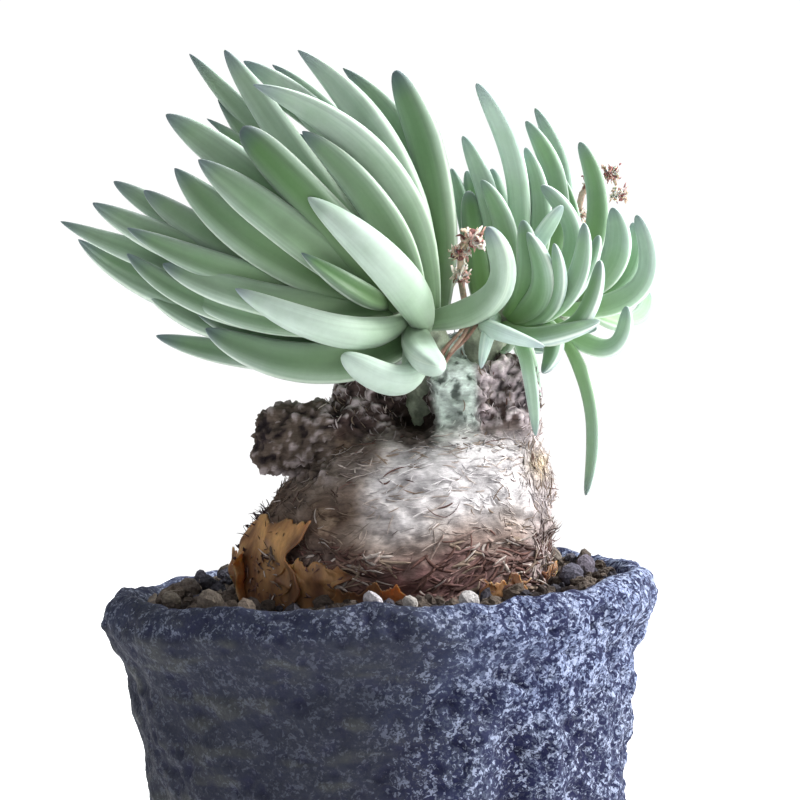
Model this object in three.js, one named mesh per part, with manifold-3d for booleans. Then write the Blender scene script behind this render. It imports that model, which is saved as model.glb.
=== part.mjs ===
// Potted Tylecodon pearsonii: a squat caudex with two crowns of fleshy leaves, set in gravel in a rough
// hand-made stoneware pot. Millimetres. +X is to the right, +Y to the back, +Z up, and the origin is the
// middle of the pot's underside.

import * as THREE from 'three';
import { mergeVertices } from 'three/addons/utils/BufferGeometryUtils.js';
import Module from 'manifold-3d';

const wasm = await Module();
wasm.setup();

const { lerp, smoothstep, mapLinear, degToRad } = THREE.MathUtils;

// Driving dimensions of the pot
const POT_HEIGHT = 80;
const POT_BASE_RADIUS = 32.5;
const POT_FOOT_EDGE = 1.5;
const POT_NECK_RADIUS = 41;
const POT_NECK_HEIGHT = 65;
const POT_LIP_RADIUS = 45;
const POT_LIP_HEIGHT = POT_HEIGHT - 5;
// The rounded lip as [height over its widest place, radius over its widest], from the neck over the crest
const POT_LIP = [[-6, -3.1], [-3, -1.6], [0, 0], [3.2, -0.9], [5, -2.7], [3.8, -4.7]];
const POT_WALL = 4;
const POT_MOUTH_RADIUS = POT_NECK_RADIUS - 2.2;
const POT_SHOULDER_HEIGHT = 74;
const POT_FLOOR = 5;
const POT_TURNS = 45;
const POT_BODY_STEPS = 9;
const POT_ROUGHNESS = 0.55;
// Above this height the wall is the free rim, which waves up and down
const POT_RIM_FROM = 77;
const DRAIN_HOLES = 3;
const DRAIN_RADIUS = 4;
const DRAIN_CIRCLE = 15;

// Air between two pieces that touch
const FIT_GAP = 0.35;

// Soil and gravel: the surface rises towards the back by the mound
const SOIL_LEVEL = 77.5;
const SOIL_MOUND = 2;
const SOIL_MOUND_FROM = -20;
const SOIL_MOUND_TO = 30;
const SOIL_RELIEF = 0.8;
const SOIL_RINGS = [36, 32.5, 29, 25];
const STONES = 26;
const STONE_SMALLEST = 1.6;
const STONE_LARGEST = 3;
const STONE_NEAREST = 27;
const STONE_FURTHEST = 38;
const GOLDEN_ANGLE = Math.PI * (3 - Math.sqrt(5));

// Caudex: its swollen base leans to the right above the soil
const CAUDEX_TURNS = 34;
const CAUDEX_CENTRE_X = 3;
const CAUDEX_LEAN = 5;
const CAUDEX_LEAN_FROM = 84;
const CAUDEX_LEAN_TO = 102;
const CAUDEX_BARE_FROM = 79;
const CAUDEX_BARE_TO = 85;
// [height, radius] from the buried foot to the top of the dome
const CAUDEX_OUTLINE = [
  [62, 0], [62, 12], [65, 17.5], [70, 21.5], [76, 24], [82, 25], [88, 24.3],
  [94, 22.3], [98.5, 19.6], [101.5, 16], [103.6, 11], [104.7, 6], [105, 0],
];

// The dead stub at the left, then the neck's branches, each with its [radius at the foot, at the end]
const LIMBS = [
  { points: [[3, -1, 101], [-6, -4, 104.5], [-13, -5, 104.5], [-18.5, -5, 105.5]], radii: [5.5, 4.2] },
  { points: [[-10, -4, 103], [-15, -5, 102], [-18.5, -5, 100]], radii: [4.2, 2.8] },
  { points: [[2, 1, 98], [-1, 0, 105], [0, 2, 113]], radii: [6.5, 4.2] },
  { points: [[13, -4, 98], [14, -4, 106], [14.5, -3, 115]], radii: [6, 4.2] },
  { points: [[19, 1, 98], [22, 0, 107], [22, 1, 115]], radii: [7.5, 4] },
  { points: [[11, 6, 99], [12, 7, 106], [11, 7, 111]], radii: [7, 4.5] },
];
const LIMB_SIDES = 8;
const LIMB_RINGS = 5;
const LIMB_END = 0.55;

// Curls of loose bark: [angle in degrees, height, length, width, lift at the tip, turn in degrees]
const FLAKES = [
  [205, 79, 12, 9, 2.5, 0], [228, 78.5, 10, 9, 2, 10], [188, 80, 9, 6, 2, -12], [250, 79, 7, 6, 1.8, 40],
  [272, 79, 7, 4, 2, 70], [296, 80, 8, 4, 2, 80], [318, 80, 8, 4, 2.4, 30], [340, 79, 9, 5, 2.4, -10],
  [10, 80, 8, 6, 2, 0], [60, 79, 9, 7, 2, 15], [110, 79, 9, 7, 2, 20], [160, 79, 9, 6, 2, -15],
  [240, 90, 7, 3, 1.6, 60], [290, 92, 8, 3, 1.6, 80], [330, 92, 7, 3, 1.8, 30], [215, 93, 7, 3, 1.8, 20],
  [50, 92, 7, 4, 1.6, 30], [130, 93, 7, 4, 1.6, -30],
];
const FLAKE_THICKNESS = 0.8;
const FLAKE_ROOT_DEPTH = 1.5;
const FLAKE_SIDES = 4;

// Leaves: the share of the width that the flat upper half and the rounded lower half each take in depth
const LEAF_SIDES = 6;
const LEAF_UPPER = 0.45;
const LEAF_LOWER = 0.85;
// [share of the length, share of the half-width]
const LEAF_PROFILE = [[0, 0], [0, 0.58], [0.3, 0.94], [0.6, 1], [0.87, 0.68], [1, 0]];
// Leaves whose middles stand behind the second depth turn their faces to the front, those before the
// first don't, and FACING says how far
const FOREMOST_Y = -24;
const FACING_Y = -20;
const FACING = 2.6;

// Green stems of the two crowns, from their sockets in the caudex to their growing tips
const LEFT_STEM = [[8.5, 3, 103], [9.8, 1, 111], [10.5, -2, 117], [8.5, -6, 121], [4, -9, 124.5]];
const RIGHT_STEM = [[17, 0, 109], [18, 0, 116], [22, 0, 120.5], [29, 2, 122], [36, 5, 124]];
const STEM_SIDES = 8;
const STEM_RADIUS = 3.4;
const STEM_TIP_RADIUS = 2.4;

// A leaf whose middle stands further forward than this has a twin at the back of its crown
const TWIN_FROM_Y = -12.5;
const TWIN_DEPTH = 0.9;
const TWIN_SWAY = 1.8;

// Leaves of the left crown, brushed up and to the left: [tip x, y, z, middle x, y, z, width, and
// the share of the stem's length where the leaf is rooted]
const LEFT_LEAVES = [
  [7, 2, 162, 11.5, -1, 149, 6.0, 0.55],
  [-1.5, 10, 163.5, 7, 6, 153, 5.6, 0.55],
  [-8.5, 0, 166, 3, -4, 152, 6.6, 0.6],
  [-13, 8, 164.5, -2.5, 3, 153.5, 5.0, 0.6],
  [-17.5, 4, 165, -5.5, -2, 154.5, 5.4, 0.65],
  [-20.5, 4, 167, -12, -4, 153, 5.2, 0.7],
  [-26.5, 8, 167, -18, 2, 156.5, 4.2, 0.7],
  [-22, 4, 159, -17.5, 0, 152.5, 4.0, 0.75],
  [-24, 4, 156, -16, -2, 149.5, 3.4, 0.8],
  [-15.5, -11, 160, 4, -17, 145.5, 6.0, 0.62],
  [-8, -16, 152, 1.5, -19, 141.5, 5.6, 0.75],
  [-17.5, -14, 153, -7, -19, 141, 6.6, 0.85],
  [-30, -4, 156.5, -16.5, -11, 145.5, 6.6, 0.85],
  [-24.5, -15, 148.5, -11, -20, 137, 6.6, 0.95],
  [-28.5, -12, 147.5, -15, -18, 134.5, 7.0, 1.0],
  [-9, -21, 133, -2.5, -21, 128, 3.8, 1.0],
  [-7.5, -21, 141.5, 3.5, -25, 131, 6.4, 0.7],
  [-39.5, 2, 146.5, -28, -6, 139, 5.2, 0.85],
  [-34, -6, 144.5, -22.5, -13, 136, 5.4, 0.95],
  [-42.5, -4, 143, -29, -12, 135.5, 6.0, 0.95],
  [-36.5, -12, 138.5, -23.5, -17, 132, 5.0, 1.0],
  [-48.5, 2, 140.5, -35, -6, 134.5, 5.0, 0.9],
  [-46, 4, 137.5, -35, -2, 130, 6.2, 0.9],
  [-37, -9, 134.5, -26.5, -14, 127, 4.8, 0.95],
  [-31, -14, 132.5, -18, -18.5, 127, 5.6, 0.95],
  [-35.5, -2, 129.5, -22, -9, 122, 5.4, 0.85],
  [-28.5, -12, 128, -15.5, -18, 123, 4.6, 0.9],
  [-26.5, -8, 124.5, -14, -14, 120.5, 5.0, 0.8],
  [-19.5, -21, 128, -5, -26, 121, 5.2, 0.85],
  [-25, -12, 122, -10, -18, 116, 6.6, 0.7],
  [-35, 14, 121, -24.5, 11, 118, 5.0, 0.6],
  [-3.5, -25, 117, 3, -24, 113, 5.4, 0.84],
  [11, -32, 114.5, 9, -21, 116.5, 5.6, 0.8],
  [-15.5, 2, 148, -6, -4, 140, 6.0, 0.85],
  [-3.5, -2, 156, 4.5, -8, 143.5, 5.0, 0.7],
  [-31, 6, 140.5, -18, 0, 132.5, 6.0, 0.9],
  [-24, 4, 144.5, -11, -6, 134.5, 6.0, 0.9],
  [-24, 2, 131.5, -10, -6, 125.5, 6.0, 0.85],
  [-22, 4, 121.5, -9, 0, 118.5, 6.0, 0.65],
  [-40, 10, 133.5, -28.5, 6, 128.5, 5.4, 0.75],
];

// The left crown's one leaf that reaches across in front of the right crown
const CROSSING_LEAF = [20, -20, 135.5, 22, -19, 130, 5.1, 0.78];

// Leaves of the right crown, fanned up and to the right, with a few that hang
const RIGHT_LEAVES = [
  [20, -2, 159, 25, 0, 148, 4.3, 0.4],
  [17.5, 4, 151, 20.5, 2, 143, 3.6, 0.4],
  [20, -1, 143.5, 23.5, -3, 135, 3.7, 0.4],
  [15.5, 8, 146, 17, 7, 140, 3.1, 0.35],
  [18, 8, 145.5, 19, 7, 138.5, 3.1, 0.35],
  [18, 3, 142, 18.5, 1, 134.5, 4.1, 0.35],
  [22, 5, 145.5, 23, 4, 138.5, 3.5, 0.4],
  [28, 6, 153, 32, 6, 144.5, 3.7, 0.6],
  [30, 14, 155.5, 33.5, 13, 146.5, 3.7, 0.6],
  [27.5, 2, 148.5, 29.5, 1, 140, 3.5, 0.5],
  [36.5, 4, 149, 39, 4, 139.5, 4.3, 0.8],
  [29.5, -4, 142, 34, -4, 135.5, 3.5, 0.55],
  [32.5, -9, 138.5, 29.5, -8, 134.5, 3.1, 0.5],
  [26, -9, 136.5, 26.5, -10, 130, 3.7, 0.46],
  [26.5, -12, 134.5, 28.5, -13, 129, 4.3, 0.46],
  [30.5, -15, 132.5, 31, -14, 127.5, 3.5, 0.46],
  [35.5, -13, 135.5, 34.5, -13, 128.5, 3.6, 0.46],
  [38, -9, 133.5, 35.5, -9, 127.5, 3.3, 0.5],
  [37.5, -16, 129.5, 35.5, -16, 122.5, 3.6, 0.46],
  [37, -17, 120, 31, -17, 118.5, 3.5, 0.46],
  [28, -20, 116.5, 24, -19, 118, 3.9, 0.42],
  [41, 0, 138, 41.5, 1, 131, 4.7, 0.85],
  [44.5, 4, 135.5, 43.5, 3, 128, 3.3, 0.85],
  [44.5, -4, 136.5, 46, -3, 127.5, 3.9, 0.72],
  [42, -7, 122, 41, -6, 117, 3.3, 0.72],
  [34, -6, 92, 35.5, -5, 107, 2.9, 0.72],
  [26, -17, 102.5, 25.5, -16, 112.5, 3.3, 0.46],
  [18, -17, 113.5, 19, -15, 117, 3.3, 0.46],
  [28, -8, 112, 30, -6, 115.5, 3.7, 0.6],
  [48, 22, 124, 46, 16, 120, 3.3, 0.9],
  [33.5, 10, 144, 35.5, 8, 135.5, 4.1, 0.75],
  [24, 8, 140.5, 26, 6, 132, 4.1, 0.45],
  [35, 4, 131.5, 33.5, 2, 126, 4.1, 0.7],
];

// Withered flower stalks, and the buds on them as [share of the stalk's length, radius]
const LEFT_STALK = [[16.7, 0, 121.8], [16.2, -2.5, 125], [15.8, -7, 129], [16.4, -9, 133], [18, -9.5, 134]];
const LEFT_BUDS = [[0.55, 1.5], [0.8, 1.6], [1, 2]];
const RIGHT_STALK = [
  [33.5, 9.8, 121.8], [35, 14, 128], [36, 16, 136], [38, 17, 142], [42, 16, 144.5], [43.5, 16, 140.5],
];
const RIGHT_BUDS = [[0.55, 1.4], [0.75, 1.5], [0.88, 1.5], [1, 1.5]];
const STALK_RADIUS = 0.6;
const STALK_SIDES = 5;
const STALK_RINGS = [0, 0.25, 0.5, 0.7, 0.85, 1];
const PETALS = 3;
const PETAL_SIDES = 4;
const PETAL_LENGTH = 3;
const PETAL_WIDTH = 1.6;
const PETAL_CURL = 1.2;

// Materials
const matt = (color, roughness) => new THREE.MeshStandardMaterial({ color, roughness, metalness: 0 });
const stoneware = matt('#59617c', 0.85);
const gravel = matt('#6b6059', 0.95);
const bark = matt('#a3907f', 0.9);
const leafSkin = matt('#8fb596', 0.55);
const driedPetal = matt('#a98573', 0.9);

// Shared making of solids

const vector = ([x, y, z]) => new THREE.Vector3(x, y, z);
const towardsFront = new THREE.Vector3(0.02, -1, 0.01);

// A solid from a closed geometry: shared vertices are merged and triangles without area are dropped
function solidOf(geometry) {
  geometry.deleteAttribute('normal');
  geometry.deleteAttribute('uv');
  const merged = mergeVertices(geometry, 1e-4);
  const index = merged.getIndex().array;
  const triangles = [];
  for (let i = 0; i < index.length; i += 3) {
    const [a, b, c] = index.slice(i, i + 3);
    if (a !== b && b !== c && c !== a) {
      triangles.push(a, b, c);
    }
  }
  const vertProperties = new Float32Array(merged.getAttribute('position').array);
  const triVerts = new Uint32Array(triangles);
  return new wasm.Manifold(new wasm.Mesh({ numProp: 3, vertProperties, triVerts }));
}

function meshOf(name, solid, material) {
  const { vertProperties, triVerts } = solid.getMesh();
  const geometry = new THREE.BufferGeometry();
  geometry.setAttribute('position', new THREE.BufferAttribute(new Float32Array(vertProperties), 3));
  geometry.setIndex(new THREE.BufferAttribute(new Uint32Array(triVerts), 1));
  geometry.computeVertexNormals();
  const mesh = new THREE.Mesh(geometry, material);
  mesh.name = name;
  return mesh;
}

const joined = (solids) => solids.reduce((whole, solid) => whole.add(solid));
const cutBy = (whole, tools) => tools.reduce((rest, tool) => rest.subtract(tool), whole);

function moveVertices(geometry, move) {
  const position = geometry.getAttribute('position');
  const point = new THREE.Vector3();
  for (let i = 0; i < position.count; i += 1) {
    point.fromBufferAttribute(position, i);
    move(point);
    position.setXYZ(i, point.x, point.y, point.z);
  }
  return geometry;
}

// A lathe about Z from [height, radius] pairs
function turned(outline, turns) {
  const points = outline.map(([height, radius]) => new THREE.Vector2(radius, height));
  return new THREE.LatheGeometry(points, turns).rotateX(Math.PI / 2);
}

// A round profile of [share of the length, radius] pairs carried along a curve. The half on the side of
// the face is flattened by upper, the other half by lower, and relief swells single spots.
function carried(profile, sides, curve, face, { upper = 1, lower = 1, relief = () => 1 } = {}) {
  const points = profile.map(([along, radius]) => new THREE.Vector2(radius, along));
  const geometry = new THREE.LatheGeometry(points, sides, Math.PI / sides);
  return solidOf(moveVertices(geometry, (point) => {
    const { x: across, y: along, z: through } = point;
    const swell = relief(Math.atan2(across, through), along);
    const tangent = curve.getTangentAt(along);
    const front = face.clone().addScaledVector(tangent, -face.dot(tangent)).normalize();
    const side = new THREE.Vector3().crossVectors(tangent, front);
    point.copy(curve.getPointAt(along));
    point.addScaledVector(side, across * swell);
    point.addScaledVector(front, through * swell * (through > 0 ? upper : lower));
  }));
}

// Pot

const potBodyRadius = (height) => mapLinear(height, 0, POT_NECK_HEIGHT, POT_BASE_RADIUS, POT_NECK_RADIUS);

const potLumps = (angle, height) => (
  0.5 * Math.sin(7 * angle + 0.11 * height)
  + 0.4 * Math.sin(13 * angle - 0.23 * height)
  + 0.4 * Math.sin(5 * angle + 0.37 * height)
  + 0.35 * Math.sin(23 * angle + 0.61 * height)
);

const potCrestWave = (angle) => (
  -0.45 * Math.sin(2 * angle + 3.67) + 0.3 * Math.sin(5 * angle - 2.6) + 0.3 * Math.sin(11 * angle)
);

// Deep upright furrows at the front right below the neck, with ribs standing proud between them
function potFurrows(angle, height) {
  const bump = (centre, width) => Math.exp(-(((angle - centre) / width) ** 2));
  const deep = bump(-1.05, 0.1) + 0.7 * bump(-1.42, 0.12) + 0.7 * bump(-0.7, 0.11);
  const proud = bump(-1.24, 0.1) + 0.7 * bump(-0.86, 0.12);
  return smoothstep(POT_NECK_HEIGHT - height, 0, 10) * (1.1 * proud - 1.5 * deep);
}

function potOutline() {
  const outside = [[0, 0], [0, POT_BASE_RADIUS - POT_FOOT_EDGE]];
  for (let i = 0; i <= POT_BODY_STEPS; i += 1) {
    const height = lerp(POT_FOOT_EDGE, POT_NECK_HEIGHT, i / POT_BODY_STEPS);
    outside.push([height, potBodyRadius(height)]);
  }
  const lip = POT_LIP.map(([above, out]) => [POT_LIP_HEIGHT + above, POT_LIP_RADIUS + out]);
  const inside = [
    [POT_SHOULDER_HEIGHT, POT_MOUTH_RADIUS],
    [POT_NECK_HEIGHT, POT_NECK_RADIUS - POT_WALL],
    [POT_FLOOR, POT_BASE_RADIUS - POT_WALL],
    [POT_FLOOR, 0],
  ];
  return [...outside, ...lip, ...inside];
}

function makePot() {
  const geometry = moveVertices(turned(potOutline(), POT_TURNS), (point) => {
    const angle = Math.atan2(point.y, point.x);
    const radius = Math.hypot(point.x, point.y);
    const height = point.z;
    const isRim = height > POT_RIM_FROM;
    const isOutside = height >= POT_FOOT_EDGE && radius > potBodyRadius(height) - POT_WALL / 2;
    if (isRim || isOutside) {
      const push = 1 + (POT_ROUGHNESS * potLumps(angle, height) + potFurrows(angle, height)) / radius;
      point.x *= push;
      point.y *= push;
    }
    if (isRim) {
      point.z += potCrestWave(angle);
    }
  });
  const drains = [];
  for (let i = 0; i < DRAIN_HOLES; i += 1) {
    const angle = (2 * Math.PI * i) / DRAIN_HOLES + Math.PI / 2;
    const drill = new THREE.CylinderGeometry(DRAIN_RADIUS, DRAIN_RADIUS, 4 * POT_FLOOR, 16);
    drill.rotateX(Math.PI / 2);
    drill.translate(DRAIN_CIRCLE * Math.cos(angle), DRAIN_CIRCLE * Math.sin(angle), 0);
    drains.push(solidOf(drill));
  }
  return cutBy(solidOf(geometry), drains);
}

// Caudex

const caudexCentre = (height) => (
  CAUDEX_CENTRE_X + CAUDEX_LEAN * smoothstep(height, CAUDEX_LEAN_FROM, CAUDEX_LEAN_TO)
);

function caudexSwell(angle, height) {
  const lobes = 0.03 * Math.sin(3 * angle + 0.6) + 0.018 * Math.sin(5 * angle - 0.25 * height);
  const wrinkles = 0.012 * Math.sin(11 * angle + 0.9 * height);
  return 1 + smoothstep(height, CAUDEX_BARE_FROM, CAUDEX_BARE_TO) * (lobes + wrinkles);
}

function caudexRadius(height) {
  const above = CAUDEX_OUTLINE.findIndex(([level], i) => i > 1 && level >= height);
  const [lowLevel, lowRadius] = CAUDEX_OUTLINE[above - 1];
  const [highLevel, highRadius] = CAUDEX_OUTLINE[above];
  return mapLinear(height, lowLevel, highLevel, lowRadius, highRadius);
}

// The swollen base, or with a growth the plain hole that it stands in
function swollenBase(growth) {
  const [[footLevel]] = CAUDEX_OUTLINE;
  const outline = CAUDEX_OUTLINE.map(([height, radius]) => [
    height === footLevel ? height - growth : height,
    radius === 0 ? 0 : radius + growth,
  ]);
  return solidOf(moveVertices(turned(outline, CAUDEX_TURNS), (point) => {
    const swell = caudexSwell(Math.atan2(point.y, point.x), point.z);
    point.x = point.x * swell + caudexCentre(point.z);
    point.y *= swell;
  }));
}

function limb({ points, radii: [foot, end] }) {
  const curve = new THREE.CatmullRomCurve3(points.map(vector));
  const profile = [[0, 0]];
  for (let i = 0; i <= LIMB_RINGS; i += 1) {
    const share = i / LIMB_RINGS;
    const blunt = i === LIMB_RINGS ? LIMB_END : 1;
    profile.push([share, lerp(foot, end, share) * blunt]);
  }
  profile.push([1, 0]);
  const relief = (angle, along) => (
    1 + 0.1 * Math.sin(3 * angle + 9 * along) + 0.08 * Math.sin(5 * angle - 23 * along)
  );
  return carried(profile, LIMB_SIDES, curve, towardsFront, { relief });
}

// A point on the caudex's skin, or off it by a lift
function onCaudex(angle, height, lift) {
  const reach = caudexRadius(height) * caudexSwell(angle, height) + lift;
  return new THREE.Vector3(caudexCentre(height) + reach * Math.cos(angle), reach * Math.sin(angle), height);
}

// A curl of loose bark: it starts inside the caudex, follows its skin and ends standing off it
function flake([degrees, height, length, width, lift, turnDegrees]) {
  const angle = degToRad(degrees);
  const turn = degToRad(turnDegrees);
  const rise = length * Math.cos(turn);
  const swing = (length * Math.sin(turn)) / caudexRadius(height);
  const foot = onCaudex(angle, height, -FLAKE_ROOT_DEPTH);
  const middle = onCaudex(angle + swing / 2, height + rise / 2, FLAKE_THICKNESS / 2);
  const tip = onCaudex(angle + swing, height + rise, lift);
  const curve = new THREE.QuadraticBezierCurve3(foot, middle, tip);
  const half = width / 2;
  const profile = [[0, 0], [0, 0.8 * half], [0.4, half], [0.8, 0.8 * half], [1, 0.3 * half], [1, 0]];
  const flat = (Math.SQRT2 * FLAKE_THICKNESS) / width;
  const outward = new THREE.Vector3(Math.cos(angle), Math.sin(angle), 0.2);
  return carried(profile, FLAKE_SIDES, curve, outward, { upper: flat, lower: flat });
}

function makeCaudex(sockets) {
  return cutBy(joined([swollenBase(0), ...LIMBS.map(limb), ...FLAKES.map(flake)]), sockets);
}

// Soil and gravel

const soilLevel = (y) => SOIL_LEVEL + SOIL_MOUND * smoothstep(y, SOIL_MOUND_FROM, SOIL_MOUND_TO);
const soilLumps = (x, y) => Math.sin(1.7 * x + Math.sin(1.3 * y)) * Math.sin(1.9 * y + Math.sin(1.1 * x));

// The bed follows the pot's inside, and its top is raised into a mound of small lumps
function soilBed() {
  const outline = [
    [POT_FLOOR + FIT_GAP, 0],
    [POT_FLOOR + FIT_GAP, POT_BASE_RADIUS - POT_WALL - FIT_GAP],
    [POT_NECK_HEIGHT, POT_NECK_RADIUS - POT_WALL - FIT_GAP],
    [POT_SHOULDER_HEIGHT, POT_MOUTH_RADIUS - FIT_GAP],
    [SOIL_LEVEL, POT_MOUTH_RADIUS - FIT_GAP],
    ...SOIL_RINGS.map((radius) => [SOIL_LEVEL, radius]),
    [SOIL_LEVEL, 0],
  ];
  return solidOf(moveVertices(turned(outline, POT_TURNS), (point) => {
    if (point.z > POT_SHOULDER_HEIGHT) {
      point.z = soilLevel(point.y) + SOIL_RELIEF * soilLumps(point.x, point.y);
    }
  }));
}

function stone(i) {
  const size = lerp(STONE_SMALLEST, STONE_LARGEST, Math.abs(Math.sin(5.1 * i)));
  const angle = i * GOLDEN_ANGLE;
  const nearest = STONE_NEAREST + CAUDEX_CENTRE_X * Math.abs(Math.cos(angle));
  const reach = lerp(nearest, STONE_FURTHEST - size, Math.abs(Math.sin(2.3 * i)));
  const y = reach * Math.sin(angle);
  const geometry = new THREE.IcosahedronGeometry(size, 0);
  geometry.scale(1, 0.85, 0.75);
  geometry.rotateZ(3 * i);
  geometry.rotateX(0.5 * Math.sin(i));
  return solidOf(geometry.translate(reach * Math.cos(angle), y, soilLevel(y)));
}

function makeSoil() {
  const stones = Array.from({ length: STONES }, (_, i) => stone(i));
  return cutBy(joined([soilBed(), ...stones]), [swollenBase(FIT_GAP)]);
}

// Leafy crowns

// A crown's stem, or with a growth the socket that it stands in
function stemOf([[x, y, z], ...rest], growth = 0) {
  const curve = new THREE.CatmullRomCurve3([[x, y, z - growth], ...rest].map(vector));
  const foot = STEM_RADIUS + growth;
  const tip = STEM_TIP_RADIUS + growth;
  const taper = [[0, foot], [0.25, foot], [0.5, foot], [0.75, (foot + tip) / 2], [0.95, tip], [1, 0.6 * tip]];
  const profile = [[0, 0], ...taper, [1, 0]];
  return { curve, solid: carried(profile, STEM_SIDES, curve, towardsFront) };
}

// A leaf is rooted in the stem at a share of its length, and its curve passes the given middle on the way
// to the tip. Its flat upper face is on the hollow side of the bow, turned to the front except on the
// foremost leaves.
function leafOf([tipX, tipY, tipZ, middleX, middleY, middleZ, width, root], stemCurve) {
  const tip = new THREE.Vector3(tipX, tipY, tipZ);
  const middle = new THREE.Vector3(middleX, middleY, middleZ);
  const foot = stemCurve.getPointAt(root);
  const share = foot.distanceTo(middle) / (foot.distanceTo(middle) + middle.distanceTo(tip));
  const bow = middle.clone().sub(foot.clone().lerp(tip, share));
  const ends = foot.clone().multiplyScalar((1 - share) ** 2).addScaledVector(tip, share ** 2);
  const control = middle.clone().sub(ends).divideScalar(2 * share * (1 - share));
  const curve = new THREE.QuadraticBezierCurve3(foot, control, tip);
  const inward = stemCurve.getPointAt(1).sub(middle).normalize();
  const face = inward.multiplyScalar(0.5).addScaledVector(bow, -1 / Math.max(bow.length(), 1));
  const turn = THREE.MathUtils.smoothstep(middleY, FOREMOST_Y, FACING_Y);
  face.addScaledVector(towardsFront, FACING * turn);
  const profile = LEAF_PROFILE.map(([along, radius]) => [along, (radius * width) / 2]);
  return carried(profile, LEAF_SIDES, curve, face, { upper: LEAF_UPPER, lower: LEAF_LOWER });
}

// The back of a crown repeats its front leaves, mirrored in depth and swayed a little
function withTwins(rows) {
  const twins = rows.filter((row) => row[4] < TWIN_FROM_Y).map((row, i) => {
    const [tipX, tipY, tipZ, middleX, middleY, middleZ, ...rest] = row;
    const sway = (k) => TWIN_SWAY * Math.sin(37 * i + 11 * k);
    return [
      tipX + sway(1), sway(2) - TWIN_DEPTH * tipY, tipZ + sway(3),
      middleX + sway(4), sway(5) - TWIN_DEPTH * middleY, middleZ + sway(6), ...rest,
    ];
  });
  return [...rows, ...twins];
}

// Leaves and stem in one body, with any pocket that the leaves seal between them filled
function makeCrown(rows, stem) {
  const whole = joined([stem.solid, ...rows.map((row) => leafOf(row, stem.curve))]);
  return whole.decompose().reduce((largest, body) => (body.volume() > largest.volume() ? body : largest));
}

// Withered flowers

// A shrivelled bud with a few curled petals
function driedBud(centre, radius, phase) {
  const bud = new THREE.IcosahedronGeometry(radius, 0);
  bud.scale(1, 1, 1.15);
  const pieces = [solidOf(bud.translate(centre.x, centre.y, centre.z))];
  for (let i = 0; i < PETALS; i += 1) {
    const angle = (2 * Math.PI * i) / PETALS + phase;
    const rise = 0.6 * Math.sin(2.1 * i + phase);
    const out = new THREE.Vector3(Math.cos(angle), 0.7 * Math.sin(angle), rise).normalize();
    const middle = centre.clone().addScaledVector(out, 0.8 * PETAL_LENGTH);
    const tip = centre.clone().addScaledVector(out, 0.9 * PETAL_LENGTH);
    tip.z += PETAL_CURL * Math.cos(3 * i + phase);
    const curve = new THREE.QuadraticBezierCurve3(centre, middle, tip);
    const half = PETAL_WIDTH / 2;
    const face = new THREE.Vector3(0, 0, 1).addScaledVector(out, 0.3);
    const profile = [[0, 0], [0, 0.6 * half], [0.6, half], [1, 0]];
    pieces.push(carried(profile, PETAL_SIDES, curve, face, { upper: 0.6, lower: 0.6 }));
  }
  return pieces;
}

function makeDriedFlower(points, buds) {
  const curve = new THREE.CatmullRomCurve3(points.map(vector));
  const profile = [[0, 0], ...STALK_RINGS.map((along) => [along, STALK_RADIUS]), [1, 0]];
  const stalk = carried(profile, STALK_SIDES, curve, towardsFront);
  const heads = buds.flatMap(([along, radius], i) => driedBud(curve.getPointAt(along), radius, i));
  return joined([stalk, ...heads]);
}

// The whole plant in its pot

const leftStem = stemOf(LEFT_STEM);
const rightStem = stemOf(RIGHT_STEM);
const sockets = [LEFT_STEM, RIGHT_STEM].map((points) => stemOf(points, FIT_GAP).solid);
const leftLeaves = [...withTwins(LEFT_LEAVES), CROSSING_LEAF];
const rightLeaves = withTwins(RIGHT_LEAVES);

const group = new THREE.Group();
group.add(meshOf('pot', makePot(), stoneware));
group.add(meshOf('soil', makeSoil(), gravel));
group.add(meshOf('caudex', makeCaudex(sockets), bark));
group.add(meshOf('leaf_crown_left', makeCrown(leftLeaves, leftStem), leafSkin));
group.add(meshOf('leaf_crown_right', makeCrown(rightLeaves, rightStem), leafSkin));
group.add(meshOf('dried_flower_left', makeDriedFlower(LEFT_STALK, LEFT_BUDS), driedPetal));
group.add(meshOf('dried_flower_right', makeDriedFlower(RIGHT_STALK, RIGHT_BUDS), driedPetal));

export default group;
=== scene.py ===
import math

import bpy
import numpy as np
from mathutils import Matrix, Vector


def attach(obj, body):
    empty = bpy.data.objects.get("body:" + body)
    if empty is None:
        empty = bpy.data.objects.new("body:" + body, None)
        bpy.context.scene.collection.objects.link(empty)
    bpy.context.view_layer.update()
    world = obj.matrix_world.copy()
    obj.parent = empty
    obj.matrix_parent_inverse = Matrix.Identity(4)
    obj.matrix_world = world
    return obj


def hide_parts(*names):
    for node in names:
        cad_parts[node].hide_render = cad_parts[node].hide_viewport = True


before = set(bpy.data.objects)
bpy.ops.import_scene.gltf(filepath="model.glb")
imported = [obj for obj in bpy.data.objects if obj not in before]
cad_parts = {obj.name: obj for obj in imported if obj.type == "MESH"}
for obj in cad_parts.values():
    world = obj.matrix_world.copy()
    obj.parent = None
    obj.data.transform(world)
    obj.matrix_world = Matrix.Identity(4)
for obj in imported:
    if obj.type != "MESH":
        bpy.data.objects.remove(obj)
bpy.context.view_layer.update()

# All shapes below are worked out in millimetres and turned to metres when they become a mesh.
MM = 0.001
rng = np.random.default_rng(20)

# Camera, matched to the photograph
CAMERA_PLACE = (5.1, -480.0, 126.0)
CAMERA_DOWN_DEG = 2.07
CAMERA_ROLL_DEG = -3.0
CAMERA_LENS = 133.3

# The outer box of plant and pot, which no point passes
OUTER_LOW = [-48.5, -45.05, 0]
OUTER_HIGH = [48.46, 44.89, 167]

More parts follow.
